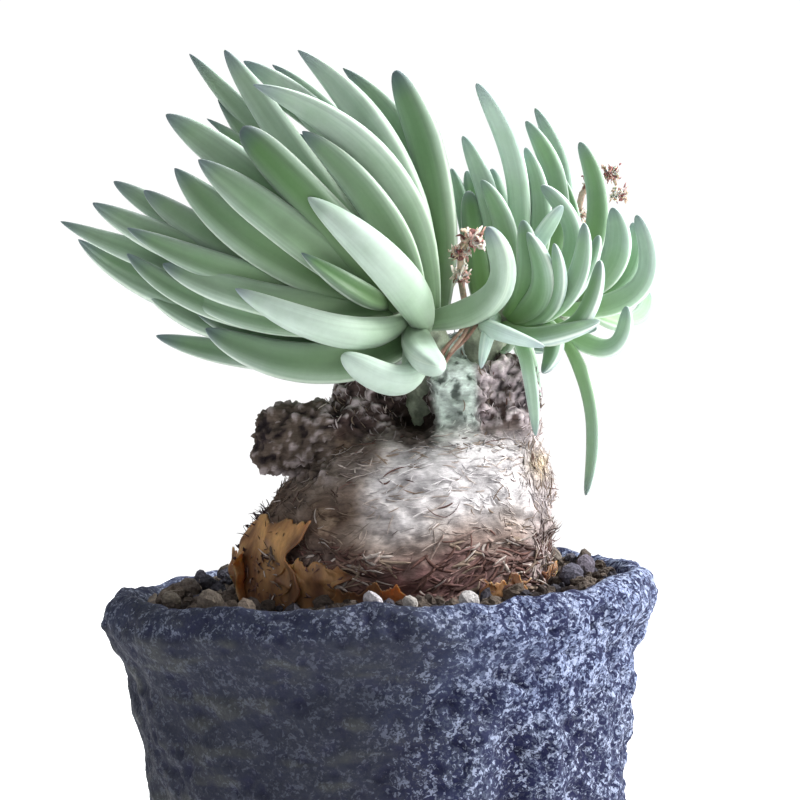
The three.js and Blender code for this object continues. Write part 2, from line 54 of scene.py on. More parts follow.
# Pot
POT_BASE_RADIUS = 32.5
POT_NECK_HEIGHT = 65.0
POT_NECK_RADIUS = 41.0
POT_FLOOR = 5.0
POT_RIM_FROM = 77.0
POT_ROUGHNESS = 0.55
POT_AROUND = 500
DRAIN_RADIUS = 4.0
DRAIN_CIRCLE = 15.0

# Soil
SOIL_LEVEL = 77.5
SOIL_MOUND = 2.0
SOIL_RADIUS = 38.4
SOIL_AROUND = 200
GRAVEL_STONES = 620

# Caudex
CAUDEX_OUTLINE = [
    [70, 0], [70, 21.3], [76, 24], [82, 25], [88, 24.3], [94, 22.3],
    [98.5, 19.6], [101.5, 16], [103.6, 11], [104.7, 6], [105, 0],
]
BARK_VOXEL = 0.38
BARK_FIBRES = 4000
CAUDEX_AROUND = 120
# Sheets of peeling bark: angles from and to in degrees, height of the top, lift, and number of folds
PAPERY_FOOT = 75
PAPERY_SHEETS = [
    [192, 232, 91.5, 1.2, 2.0], [226, 252, 84.5, 1.0, 1.5], [178, 204, 86, 2.6, 2.5],
    [246, 274, 80.8, 1.2, 2.5], [302, 322, 80.4, 1.0, 1.5], [336, 366, 81, 1.0, 2.0],
    [30, 66, 83, 1.2, 2.0], [95, 136, 84, 1.2, 2.0], [146, 180, 82, 1.2, 1.5],
]
LIMBS = [
    ([[3, -1, 101], [-6, -4, 104.5], [-13, -5, 104.5], [-18.5, -5, 105.5]], 5.5, 3.6),
    ([[-10, -4, 103], [-15, -5, 102], [-18.5, -5, 100]], 4.2, 2.6),
    ([[-10, -4, 102], [-13, -5, 100.5], [-14.5, -5.5, 98.8]], 3.6, 1.6),
    ([[2, 1, 98], [-1, 0, 105], [0, 2, 113]], 6.5, 4.2),
    ([[13, -4, 98], [14, -4, 106], [14.5, -3, 115]], 6, 4.2),
    ([[19, 1, 98], [22, 0, 107], [22, 1, 115]], 7.5, 4),
    ([[11, 6, 99], [12, 7, 106], [11, 7, 111]], 7, 4.5),
    ([[5, 3, 99], [5.5, 4, 106], [6.5, 5, 111.5]], 5.5, 3.6),
    ([[13.5, -2, 106], [14.5, -1, 115], [16, 0, 119]], 4.0, 2.4),
]

# Leaves
LEFT_STEM = [[8.5, 3, 103], [9.8, 1, 111], [10.5, -2, 117], [8.5, -6, 121], [4, -9, 124.5]]
RIGHT_STEM = [[17, 0, 109], [18, 0, 116], [22, 0, 120.5], [29, 2, 122], [36, 5, 124]]
LEAF_RINGS = 34
LEAF_AROUND = 22
LEAF_UPPER = 0.55
LEAF_LOWER = 0.85
LEAF_FACING = 2.6
TWIN_FROM_Y = -12.5
TWIN_DEPTH = 0.9
TWIN_SWAY = 1.8
BLUNT_LEAVES = (0, 11)

# Tip x, y, z, middle x, y, z, width, and the share of the stem's length where the leaf is rooted
LEFT_LEAVES = [
    [7, 2, 162, 11.5, -1, 149, 6.0, 0.55],
    [-1.5, 10, 163.5, 7, 6, 153, 5.6, 0.55],
    [-8.5, 0, 166, 3, -4, 152, 6.6, 0.6],
    [-13, 8, 164.5, -2.5, 3, 153.5, 5.0, 0.6],
    [-17.5, 4, 165, -5.5, -2, 154.5, 5.4, 0.65],
    [-20.5, 4, 167, -12, -4, 153, 5.2, 0.7],
    [-26.5, 8, 167, -18, 2, 156.5, 4.2, 0.7],
    [-22, 4, 159, -17.5, 0, 152.5, 4.0, 0.75],
    [-24, 4, 156, -16, -2, 149.5, 3.4, 0.8],
    [-15.5, -11, 160, 4, -17, 145.5, 6.0, 0.62],
    [-8, -16, 152, 1.5, -19, 141.5, 5.6, 0.75],
    [-17.5, -14, 153, -7, -19, 141, 6.6, 0.85],
    [-30, -4, 156.5, -16.5, -11, 145.5, 6.6, 0.85],
    [-24.5, -15, 148.5, -11, -20, 137, 6.6, 0.95],
    [-28.5, -12, 147.5, -15, -18, 134.5, 7.0, 1.0],
    [-9, -21, 133, -2.5, -21, 128, 3.8, 1.0],
    [-7.5, -21, 141.5, 3.5, -25, 131, 6.4, 0.7],
    [-39.5, 2, 146.5, -28, -6, 139, 5.2, 0.85],
    [-34, -6, 144.5, -22.5, -13, 136, 5.4, 0.95],
    [-42.5, -4, 143, -29, -12, 135.5, 6.0, 0.95],
    [-36.5, -12, 138.5, -23.5, -17, 132, 5.0, 1.0],
    [-48.5, 2, 140.5, -35, -6, 134.5, 5.0, 0.9],
    [-46, 4, 137.5, -35, -2, 130, 6.2, 0.9],
    [-37, -9, 134.5, -26.5, -14, 127, 4.8, 0.95],
    [-31, -14, 132.5, -18, -18.5, 127, 5.6, 0.95],
    [-35.5, -2, 129.5, -22, -9, 122, 5.4, 0.85],
    [-28.5, -12, 128, -15.5, -18, 123, 4.6, 0.9],
    [-26.5, -8, 124.5, -14, -14, 120.5, 5.0, 0.8],
    [-19.5, -21, 128, -5, -26, 121, 5.2, 0.85],
    [-25, -12, 122, -10, -18, 116, 6.6, 0.7],
    [-35, 14, 121, -24.5, 11, 118, 5.0, 0.6],
    [-3.5, -25, 117, 3, -24, 113, 5.4, 0.84],
    [11, -32, 114.5, 9, -21, 116.5, 5.6, 0.8],
    [-15.5, 2, 148, -6, -4, 140, 6.0, 0.85],
    [-3.5, -2, 156, 4.5, -8, 143.5, 5.0, 0.7],
    [-31, 6, 140.5, -18, 0, 132.5, 6.0, 0.9],
    [-24, 4, 144.5, -11, -6, 134.5, 6.0, 0.9],
    [-24, 2, 131.5, -10, -6, 125.5, 6.0, 0.85],
    [-22, 4, 121.5, -9, 0, 118.5, 6.0, 0.65],
    [-40, 10, 133.5, -28.5, 6, 128.5, 5.4, 0.75],
]
CROSSING_LEAF = [20, -20, 135.5, 22, -19, 130, 5.1, 0.78]
RIGHT_LEAVES = [
    [20, -2, 159, 25, 0, 148, 4.3, 0.4],
    [17.5, 4, 151, 20.5, 2, 143, 3.6, 0.4],
    [20, -1, 143.5, 23.5, -3, 135, 3.7, 0.4],
    [15.5, 8, 146, 17, 7, 140, 3.1, 0.35],
    [18, 8, 145.5, 19, 7, 138.5, 3.1, 0.35],
    [18, 3, 142, 18.5, 1, 134.5, 4.1, 0.35],
    [22, 5, 145.5, 23, 4, 138.5, 3.5, 0.4],
    [28, 6, 153, 32, 6, 144.5, 3.7, 0.6],
    [30, 14, 155.5, 33.5, 13, 146.5, 3.7, 0.6],
    [27.5, 2, 148.5, 29.5, 1, 140, 3.5, 0.5],
    [36.5, 4, 149, 39, 4, 139.5, 4.3, 0.8],
    [29.5, -4, 142, 34, -4, 135.5, 3.5, 0.55],
    [32.5, -9, 138.5, 29.5, -8, 134.5, 3.1, 0.5],
    [26, -9, 136.5, 26.5, -10, 130, 3.7, 0.46],
    [26.5, -12, 134.5, 28.5, -13, 129, 4.3, 0.46],
    [30.5, -15, 132.5, 31, -14, 127.5, 3.5, 0.46],
    [35.5, -13, 135.5, 34.5, -13, 128.5, 3.6, 0.46],
    [38, -9, 133.5, 35.5, -9, 127.5, 3.3, 0.5],
    [37.5, -16, 129.5, 35.5, -16, 122.5, 3.6, 0.46],
    [37, -17, 120, 31, -17, 118.5, 3.5, 0.46],
    [28, -20, 116.5, 24, -19, 118, 3.9, 0.42],
    [41, 0, 138, 41.5, 1, 131, 4.7, 0.85],
    [44.5, 4, 135.5, 43.5, 3, 128, 3.3, 0.85],
    [44.5, -4, 136.5, 46, -3, 127.5, 3.9, 0.72],
    [42, -7, 122, 41, -6, 117, 3.3, 0.72],
    [34, -6, 92, 35.5, -5, 107, 2.9, 0.72],
    [26, -17, 102.5, 25.5, -16, 112.5, 3.3, 0.46],
    [18, -17, 113.5, 19, -15, 117, 3.3, 0.46],
    [28, -8, 112, 30, -6, 115.5, 3.7, 0.6],
    [48, 22, 124, 46, 16, 120, 3.3, 0.9],
    [33.5, 10, 144, 35.5, 8, 135.5, 4.1, 0.75],
    [24, 8, 140.5, 26, 6, 132, 4.1, 0.45],
    [35, 4, 131.5, 33.5, 2, 126, 4.1, 0.7],
]
# How pale each leaf's bloom is, in the order of the rows: 0 is rubbed to green, 1 is whitish. The values were
# read off how pale each leaf looks, so they also paint in how brightly each leaf is lit.
LEFT_BLOOM_AND_LIGHT = [
    0.25, 0.5, 0.9, 0.7, 0.85, 0.7, 0.55, 0.4, 0.35, 0.85, 0.35, 0.05, 0.5, 0.45, 0.3, 0.1, 1.1,
    0.5, 0.4, 0.45, 0.35, 0.5, 0.35, 0.4, 0.55, 0.35, 0.45, 0.4, 0.95, 0.4, 0.4, 1.2, 1.3,
    0.3, 0.3, 0.3, 0.3, 0.3, 0.3, 0.3,
]
RIGHT_BLOOM_AND_LIGHT = [
    0.85, 0.7, 0.45, 0.5, 0.2, 0.1, 0.5, 0.35, 0.7, 0.5, 0.2, 0.6, 1.0, 0.3, 0.45, 0.55, 0.55,
    0.3, 0.2, 0.35, 0.9, 0.6, 0.5, 0.75, 0.6, 0.5, 0.7, 1.0, 0.35, 0.5, 0.2, 0.2, 0.2,
]
CROSSING_BLOOM_AND_LIGHT = 0.9
# Old leaves of the right crown that have shrunk: each row's number and the share of its width that is left
SHRUNK = {0: 0.9, 10: 0.85, 20: 0.8, 25: 0.85, 26: 0.68, 27: 0.85, 30: 0.45}

# Withered flowers
PETALS_A_BUD = 34
FLOWER_RINGS = 10
RIBBON_AROUND = 8
OLD_STALK_RIBBONS = 6
OLD_STALK_RINGS = 24
LEFT_STALK = [[16.7, 0, 121.8], [16.2, -2.5, 125], [15.8, -7, 129], [16.4, -9, 133], [18, -9.5, 134]]
LEFT_BUDS = [[0.55, 1.5], [0.8, 1.6], [1, 2]]
RIGHT_STALK = [
    [33.5, 9.8, 121.8], [35, 14, 128], [36, 16, 136], [38, 17, 142], [42, 16, 144.5], [43.5, 16, 140.5],
]
RIGHT_BUDS = [[0.55, 1.4], [0.75, 1.5], [0.88, 1.5], [1, 1.5]]


# Numbers and noise

def linear(hex_colour):
    """The linear red, green and blue of an sRGB hex colour."""
    srgb = np.array([int(hex_colour[i:i + 2], 16) for i in (1, 3, 5)]) / 255
    return np.where(srgb <= 0.04045, srgb / 12.92, ((srgb + 0.055) / 1.055) ** 2.4)


def rgba(hex_colour):
    return (*linear(hex_colour), 1.0)


def ease(value, low, high):
    """From 0 at low to 1 at high, as 3t²-2t³."""
    t = np.clip((np.asarray(value, float) - low) / (high - low), 0, 1)
    return t * t * (3 - 2 * t)


def hashed(cells, seed):
    """A number from 0 to 1 for each whole cell: its coordinates times primes, mixed by xor and shifts."""
    x, y, z = (cells[..., k].astype(np.int64) for k in range(3))
    h = (x * 73856093) ^ (y * 19349663) ^ (z * 83492791) ^ (seed * 265443576)
    h = ((h ^ (h >> 13)) * 1274126177) & 0xFFFFFFFF
    h = ((h ^ (h >> 16)) * 2246822519) & 0xFFFFFFFF
    return ((h ^ (h >> 15)) & 0xFFFFFF) / 0xFFFFFF


def lumps(points, size, seed):
    """Smooth lumps about size mm across, from -1 to 1: numbers on a cubic lattice, eased between."""
    scaled = points / size
    cell = np.floor(scaled)
    t = ease(scaled - cell, 0, 1)
    total = np.zeros(points.shape[:-1])
    for corner in np.ndindex(2, 2, 2):
        weight = np.prod(np.where(corner, t, 1 - t), axis=-1)
        total += weight * hashed(cell + np.array(corner), seed)
    return 2 * total - 1


def rough(points, size, layers, seed):
    """Lumps on lumps: each layer has half the size and half the height of the one before."""
    return sum(lumps(points, size / 2 ** k, seed + k) / 2 ** k for k in range(layers))


def grains(points, size, seed):
    """Distance, in cells of size mm, to the nearest of scattered points, one in each cell."""
    scaled = points / size
    cell = np.floor(scaled)
    near = np.full(points.shape[:-1], 9.0)
    for step in np.ndindex(3, 3, 3):
        other = cell + np.array(step) - 1
        spot = other + np.stack([hashed(other, seed + k) for k in range(3)], axis=-1)
        near = np.minimum(near, np.linalg.norm(scaled - spot, axis=-1))
    return near


def unit(vectors):
    return vectors / np.maximum(np.linalg.norm(vectors, axis=-1, keepdims=True), 1e-9)


# Curves

def through(points, per_span=40):
    """A smooth curve through points: cubic spans whose speed at each point follows the root of the gaps."""
    p = np.array(points, float)
    p = np.vstack([2 * p[0] - p[1], p, 2 * p[-1] - p[-2]])
    t = np.linspace(0, 1, per_span)[:, None]
    spans = []
    for a, b, c, d in zip(p, p[1:], p[2:], p[3:]):
        ab, bc, cd = (np.sqrt(np.linalg.norm(v)) for v in (b - a, c - b, d - c))
        leave = ((b - a) / ab - (c - a) / (ab + bc) + (c - b) / bc) * bc
        arrive = ((c - b) / bc - (d - b) / (bc + cd) + (d - c) / cd) * bc
        spans.append(b + leave * t + (3 * (c - b) - 2 * leave - arrive) * t ** 2
                     + (2 * (b - c) + leave + arrive) * t ** 3)
    return np.vstack([span[:-1] for span in spans] + [p[-2:-1]])


def at(line, shares):
    """Points of a finely stepped line at shares of its length."""
    steps = np.linalg.norm(np.diff(line, axis=0), axis=1)
    run = np.concatenate([[0], np.cumsum(steps)])
    shares = np.atleast_1d(shares) * run[-1]
    return np.stack([np.interp(shares, run, line[:, k]) for k in range(3)], axis=-1)


def directions(path):
    return unit(np.gradient(path, axis=0))


# Meshes

def tube_faces(rings, around):
    """Faces of a closed tube whose vertices are a pole, the rings one after another, and a pole."""
    i = 1 + around * np.arange(rings - 1)[:, None]
    j = np.arange(around)[None, :]
    k = (j + 1) % around
    quads = np.stack([i + j, i + around + j, i + around + k, i + k], axis=-1).reshape(-1, 4)
    j, k = j[0], k[0]
    last = 1 + around * (rings - 1)
    end = last + around
    first_fan = np.stack([np.zeros_like(j), 1 + j, 1 + k], axis=-1)
    last_fan = np.stack([np.full_like(j, end), last + k, last + j], axis=-1)
    return quads, np.vstack([first_fan, last_fan])


def copies_of(faces, copies, stride):
    """The same faces for each of a number of equal pieces, whose vertices follow one another."""
    shift = stride * np.arange(copies)[:, None, None]
    return (faces[None] + shift).reshape(-1, faces.shape[1])


def new_mesh(name, points, face_sets, attributes=None, smooth=True):
    """A mesh object from points in mm and arrays of faces. All faces are turned round together where the
    sum of the signed volumes under them is negative."""
    points = np.clip(np.asarray(points, float), OUTER_LOW, OUTER_HIGH)
    volume = 0
    for faces in face_sets:
        a = points[faces[:, 0]]
        for k in range(1, faces.shape[1] - 1):
            b, c = points[faces[:, k]], points[faces[:, k + 1]]
            volume += np.einsum("ij,ij->", a, np.cross(b, c))
    if volume < 0:
        face_sets = [faces[:, ::-1] for faces in face_sets]
    sizes = np.concatenate([np.full(len(faces), faces.shape[1]) for faces in face_sets])
    corners = np.concatenate([faces.ravel() for faces in face_sets])
    mesh = bpy.data.meshes.new(name)
    mesh.vertices.add(len(points))
    mesh.vertices.foreach_set("co", (points * MM).astype(np.float32).ravel())
    mesh.loops.add(len(corners))
    mesh.loops.foreach_set("vertex_index", corners.astype(np.int32))
    mesh.polygons.add(len(sizes))
    mesh.polygons.foreach_set("loop_start", (np.cumsum(sizes) - sizes).astype(np.int32))
    mesh.update(calc_edges=True)
    mesh.polygons.foreach_set("use_smooth", np.full(len(sizes), smooth))
    for key, values in (attributes or {}).items():
        give(mesh, key, values)
    mesh.validate()
    piece = bpy.data.objects.new(name, mesh)
    bpy.context.scene.collection.objects.link(piece)
    return piece


def give(mesh, key, values):
    """Stores three or four numbers for each vertex under a name."""
    values = values.reshape(len(mesh.vertices), -1)
    full = np.ones((len(mesh.vertices), 4), np.float32)
    full[:, :values.shape[1]] = values
    mesh.attributes.new(key, "FLOAT_COLOR", "POINT").data.foreach_set("color", full.ravel())


def tubes(name, centres, sides, fronts, across, deep, around, attributes=None):
    """Closed tubes, all with the same rings. Ring point = centre + side·across(angle) + front·deep(angle).
    centres, sides, fronts are (tubes, rings, 3); across, deep are (tubes, rings, around).
    The first and last ring shrink to a pole each."""
    count, rings = centres.shape[:2]
    ring_points = (centres[:, :, None] + sides[:, :, None] * across[..., None]
                   + fronts[:, :, None] * deep[..., None])
    inner = ring_points[:, 1:-1].reshape(count, -1, 3)
    points = np.concatenate([centres[:, :1], inner, centres[:, -1:]], axis=1)
    stride = points.shape[1]
    faces = [copies_of(f, count, stride) for f in tube_faces(rings - 2, around)]
    made = {}
    for key, values in (attributes or {}).items():
        middle = values[:, 1:-1].reshape(count, -1, 3)
        made[key] = np.concatenate([values[:, :1, 0], middle, values[:, -1:, 0]], axis=1).reshape(-1, 3)
    return new_mesh(name, points.reshape(-1, 3), faces, made)


def points_of(mesh):
    co = np.zeros(len(mesh.vertices) * 3, np.float32)
    mesh.vertices.foreach_get("co", co)
    return co.reshape(-1, 3).astype(float) / MM


def normals_of(mesh):
    n = np.zeros(len(mesh.vertices) * 3, np.float32)
    mesh.vertices.foreach_get("normal", n)
    return n.reshape(-1, 3).astype(float)


def finished(piece, material, replaces=None):
    piece.data.materials.clear()
    piece.data.materials.append(material)
    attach(piece, "root")
    if replaces:
        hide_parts(replaces)


# Materials

def node(tree, kind, inputs=None, **settings):
    """Adds a node, sets its settings, and fills or links its inputs."""
    made = tree.nodes.new("ShaderNode" + kind)
    for key, value in settings.items():
        setattr(made, key, value)
    for key, value in (inputs or {}).items():
        if isinstance(value, bpy.types.NodeSocket):
            tree.links.new(value, made.inputs[key])
        else:
            made.inputs[key].default_value = value
    return made


def new_material(name, constants):
    """A material with its shader's constant sockets set, its tree, its shader and its coordinates."""
    material = bpy.data.materials.new(name)
    material.use_nodes = True
    tree = material.node_tree
    shader = tree.nodes["Principled BSDF"]
    for key, value in constants.items():
        shader.inputs[key].default_value = value
    return material, tree, shader, node(tree, "TexCoord").outputs["Object"]


def waxy_leaf_skin(name, outer, face, core, margin_and_rim_light, root, tip):
    """Leaf skin under a pale wax bloom: matt and whitish on the rounded outer side, green on the flat face
    and deep green along its middle, with a thin pale edge line that is partly thicker bloom and partly
    painted rim light, a green root and a stained tip. leaf_place holds the share of the length, how far round
    to the flat face, and how pale the leaf's bloom is, a value that also paints in how brightly the leaf is
    lit."""
    material, tree, shader, where = new_material(name, {
        "Subsurface Weight": 0.06, "Subsurface Scale": 0.0015, "Subsurface Radius": (0.8, 1.0, 0.6),
        "Sheen Weight": 0.1, "Sheen Roughness": 0.5, "IOR": 1.4,
    })
    place = node(tree, "Attribute", attribute_name="leaf_place").outputs["Color"]
    along, upper, milky_and_lit = node(tree, "SeparateXYZ", {0: place}).outputs
    # How pale the bloom is, a value that also paints in how brightly the leaf is lit
    green = node(tree, "MapRange", {"Value": milky_and_lit, "To Min": 1.0, "To Max": 0.1}).outputs[0]
    # Bloom is rubbed over about 6 mm, and finely mottled over about 0.7 mm
    patches = node(tree, "TexNoise", {"Vector": where, "Scale": 160, "Detail": 2, "Roughness": 0.45})
    mottle = node(tree, "TexNoise", {"Vector": where, "Scale": 1400, "Detail": 3, "Roughness": 0.6})
    # Streaks run along the leaf: noise over its own place, about four times finer across than along
    drawn = node(tree, "VectorMath", {0: place, 1: (1.6, 7.0, 40.0)}, operation="MULTIPLY").outputs[0]
    streaks = node(tree, "TexNoise", {"Vector": drawn, "Scale": 1.0, "Detail": 3, "Roughness": 0.55})
    clean = node(tree, "MapRange", {
        "Value": milky_and_lit, "From Min": 1.0, "From Max": 1.15, "To Min": 1.0, "To Max": 0.1,
    })
    steps = [
        # what, over which range, up to which share, towards which colour, and how much of it at all
        (upper, -0.1, 0.45, 0.9, face, green),
        (upper, 0.55, 1.0, 0.8, core, green),
        (along, 0.7, 0.1, 0.75, root, 1.0),
        (along, 0.88, 1.0, 0.7, tip, clean.outputs[0]),
    ]
    worn = node(tree, "MapRange", {
        "Value": patches.outputs[0], "From Min": 0.45, "From Max": 0.75, "To Max": 0.5,
    })
    colour = node(tree, "Mix", {0: worn.outputs[0], 6: rgba(outer), 7: rgba(face)}, data_type="RGBA")
    for value, low, high, share, hue, part in steps:
        how = node(tree, "MapRange", {"Value": value, "From Min": low, "From Max": high, "To Max": share})
        how = node(tree, "Math", {0: how.outputs[0], 1: part}, operation="MULTIPLY")
        colour = node(tree, "Mix", {0: how.outputs[0], 6: colour.outputs[2], 7: rgba(hue)}, data_type="RGBA")
    # The pale edge line: partly the bloom lying thicker at the leaf's edge, partly painted rim light
    off_edge = node(tree, "Math", {0: upper, 1: 0.06}, operation="SUBTRACT")
    off_edge = node(tree, "Math", {0: off_edge.outputs[0]}, operation="ABSOLUTE")
    rim = node(tree, "MapRange", {
        "Value": off_edge.outputs[0], "From Min": 0.3, "From Max": 0.08, "To Max": 0.9,
    })
    seen = node(tree, "MapRange", {"Value": milky_and_lit, "To Min": 1.0, "To Max": 0.4})
    rim = node(tree, "Math", {0: rim.outputs[0], 1: seen.outputs[0]}, operation="MULTIPLY")
    colour = node(tree, "Mix", {0: rim.outputs[0], 6: colour.outputs[2], 7: rgba(margin_and_rim_light)}, data_type="RGBA")
    light = 1.0
    for value, low, high, darkest in (
        (patches.outputs[0], 0, 1, 0.85), (mottle.outputs[0], 0, 1, 0.93), (milky_and_lit, 0, 1, 0.88),
        (streaks.outputs[0], 0.3, 0.7, 0.9),
    ):
        factor = node(tree, "MapRange", {
            "Value": value, "From Min": low, "From Max": high, "To Min": darkest, "To Max": 2 - darkest,
        })
        light = node(tree, "Math", {0: factor.outputs[0], 1: light}, operation="MULTIPLY").outputs[0]
    colour = node(tree, "VectorMath", {0: colour.outputs[2], "Scale": light}, operation="SCALE")
    gloss = node(tree, "MapRange", {"Value": patches.outputs[0], "To Min": 0.4, "To Max": 0.6})
    tree.links.new(colour.outputs[0], shader.inputs["Base Color"])
    tree.links.new(gloss.outputs[0], shader.inputs["Roughness"])
    return material


def dyed(name, constants, fine_mm, contrast, bump_mm, bump_strength=0.6, stretch=(1, 1, 1)):
    """A dry matt skin whose colour, and on the bark its painted shade, is in its dye attribute, with a finer
    grain of light and dark over it, fine_mm across and drawn out along an axis where stretch is small, and
    the same grain raised."""
    material, tree, shader, where = new_material(name, constants)
    dye = node(tree, "Attribute", attribute_name="dye").outputs["Color"]
    turned = node(tree, "Mapping", {"Vector": where, "Scale": stretch}).outputs[0]
    scale = 1 / (fine_mm * MM)
    grain = node(tree, "TexNoise", {"Vector": turned, "Scale": scale, "Detail": 5, "Roughness": 0.65})
    light = node(tree, "MapRange", {
        "Value": grain.outputs[0], "From Min": 0.25, "From Max": 0.75,
        "To Min": 1 - contrast, "To Max": 1 + contrast,
    })
    colour = node(tree, "VectorMath", {0: dye, "Scale": light.outputs[0]}, operation="SCALE")
    bump = node(tree, "Bump", {
        "Height": grain.outputs[0], "Strength": bump_strength, "Distance": bump_mm * MM,
    })
    tree.links.new(colour.outputs[0], shader.inputs["Base Color"])
    tree.links.new(bump.outputs[0], shader.inputs["Normal"])
    return material


def stoneware_skin():
    """Fired, unglazed stoneware: matt, and packed with grains of about 0.3 and 0.6 mm that are navy, slate or
    pale by chance, in clusters of 3 mm; besides the real speckle, the navy on the low grains is painted shade
    and the pale on the raised grains painted glint. The dye's fourth number says how rough-grained the skin
    is there, and is highest on the lit right."""
    material, tree, shader, where = new_material("unglazed_stoneware", {"Specular IOR Level": 0.3})
    dye = node(tree, "Attribute", attribute_name="dye")
    warp = node(tree, "TexNoise", {"Vector": where, "Scale": 1100, "Detail": 2})
    shift = node(tree, "VectorMath", {0: warp.outputs["Color"], "Scale": 0.0009}, operation="SCALE")
    warped = node(tree, "VectorMath", {0: where, 1: shift.outputs[0]}, operation="ADD")
    cluster = node(tree, "TexNoise", {"Vector": where, "Scale": 330, "Detail": 2})
    chance = node(tree, "Math", {0: cluster.outputs[0], 1: 0.9}, operation="MULTIPLY").outputs[0]
    for scale, share in ((1650, 0.5), (3300, 0.4)):
        cells = node(tree, "TexVoronoi", {"Vector": warped.outputs[0], "Scale": scale})
        one = node(tree, "SeparateColor", {0: cells.outputs["Color"]}).outputs[0]
        chance = node(tree, "Math", {0: one, 1: share, 2: chance}, operation="MULTIPLY_ADD").outputs[0]
    colour = dye.outputs["Color"]
    # Navy on the low grains is painted shade and pale on the raised grains painted glint, over the
    # stoneware's real speckle
    for low, high, most, hue in ((0.96, 0.82, 0.95, "#10143a"), (1.04, 1.2, 0.7, "#adb7d2")):
        share = node(tree, "MapRange", {
            "Value": dye.outputs["Alpha"], "From Min": 0.35, "To Min": 0.08 * most, "To Max": most,
        })
        there = node(tree, "MapRange", {
            "Value": chance, "From Min": low, "From Max": high, "To Max": share.outputs[0],
        })
        mixing = node(tree, "Mix", {0: there.outputs[0], 6: colour, 7: rgba(hue)}, data_type="RGBA")
        colour = mixing.outputs[2]
    height = node(tree, "MapRange", {
        "Value": dye.outputs["Alpha"], "From Min": 0.3, "To Min": 0.4, "To Max": 1.0,
    })
    bump = node(tree, "Bump", {"Height": chance, "Strength": height.outputs[0], "Distance": 0.0011})
    gloss = node(tree, "MapRange", {
        "Value": chance, "From Min": 0.6, "From Max": 1.2, "To Min": 0.95, "To Max": 0.7,
    })
    tree.links.new(colour, shader.inputs["Base Color"])
    tree.links.new(gloss.outputs[0], shader.inputs["Roughness"])
    tree.links.new(bump.outputs[0], shader.inputs["Normal"])
    return material


# Pot

def pot_outline():
    """(height, radius) pairs from the middle of the underside, up the outside, over the lip and down inside.
    Steps are 1 mm low on the wall, 0.5 mm higher up, and the lip is rounded by a moving average."""
    low = np.arange(1.5, 40, 1.0)
    high = np.arange(40, 67, 0.5)
    levels = [0, POT_NECK_HEIGHT]
    wall = [(z, np.interp(z, levels, [POT_BASE_RADIUS, POT_NECK_RADIUS])) for z in [*low, *high]]
    lip = [
        (67.5, 41.45), (69, 41.9), (72, 43.4), (75, 45), (78.2, 44.1), (80, 42.3), (79.6, 40.8), (78.2, 39.6),
        (76, 38.9), (74, 38.8), (71, 38.3),
    ]
    lip = np.array(lip, float)
    run = np.concatenate([[0], np.cumsum(np.linalg.norm(np.diff(lip, axis=0), axis=1))])
    steps = np.arange(0, run[-1], 0.45)
    lip = np.stack([np.interp(steps, run, lip[:, k]) for k in (0, 1)], axis=-1)
    kernel = np.array([1, 2, 3, 2, 1]) / 9
    for _ in range(2):
        soft = np.stack([np.convolve(lip[:, k], kernel, mode="valid") for k in (0, 1)], axis=-1)
        lip[2:-2] = soft
    under = [(0, r) for r in (0, 8, 16, 24, 31)]
    inside = [(65, 37), (50, 34.9), (35, 32.8), (20, 30.6), *[(POT_FLOOR, r) for r in (28.5, 20, 10, 0)]]
    return np.array([*under, *wall, *lip, *inside], float)


def furrows(angle, height):
    """Upright furrows at the front right below the neck with ribs between them: bell curves of the angle."""
    def bell(centre, width):
        return np.exp(-((angle - centre) / width) ** 2)
    deep = bell(-1.05, 0.1) + 0.7 * bell(-1.42, 0.12) + 0.7 * bell(-0.7, 0.11)
    proud = bell(-1.24, 0.1) + 0.7 * bell(-0.86, 0.12)
    return ease(POT_NECK_HEIGHT - height, 0, 10) * (1.1 * proud - 1.5 * deep)


def crest_wave(angle):
    return -0.45 * np.sin(2 * angle + 3.67) + 0.3 * np.sin(5 * angle - 2.6) + 0.3 * np.sin(11 * angle)


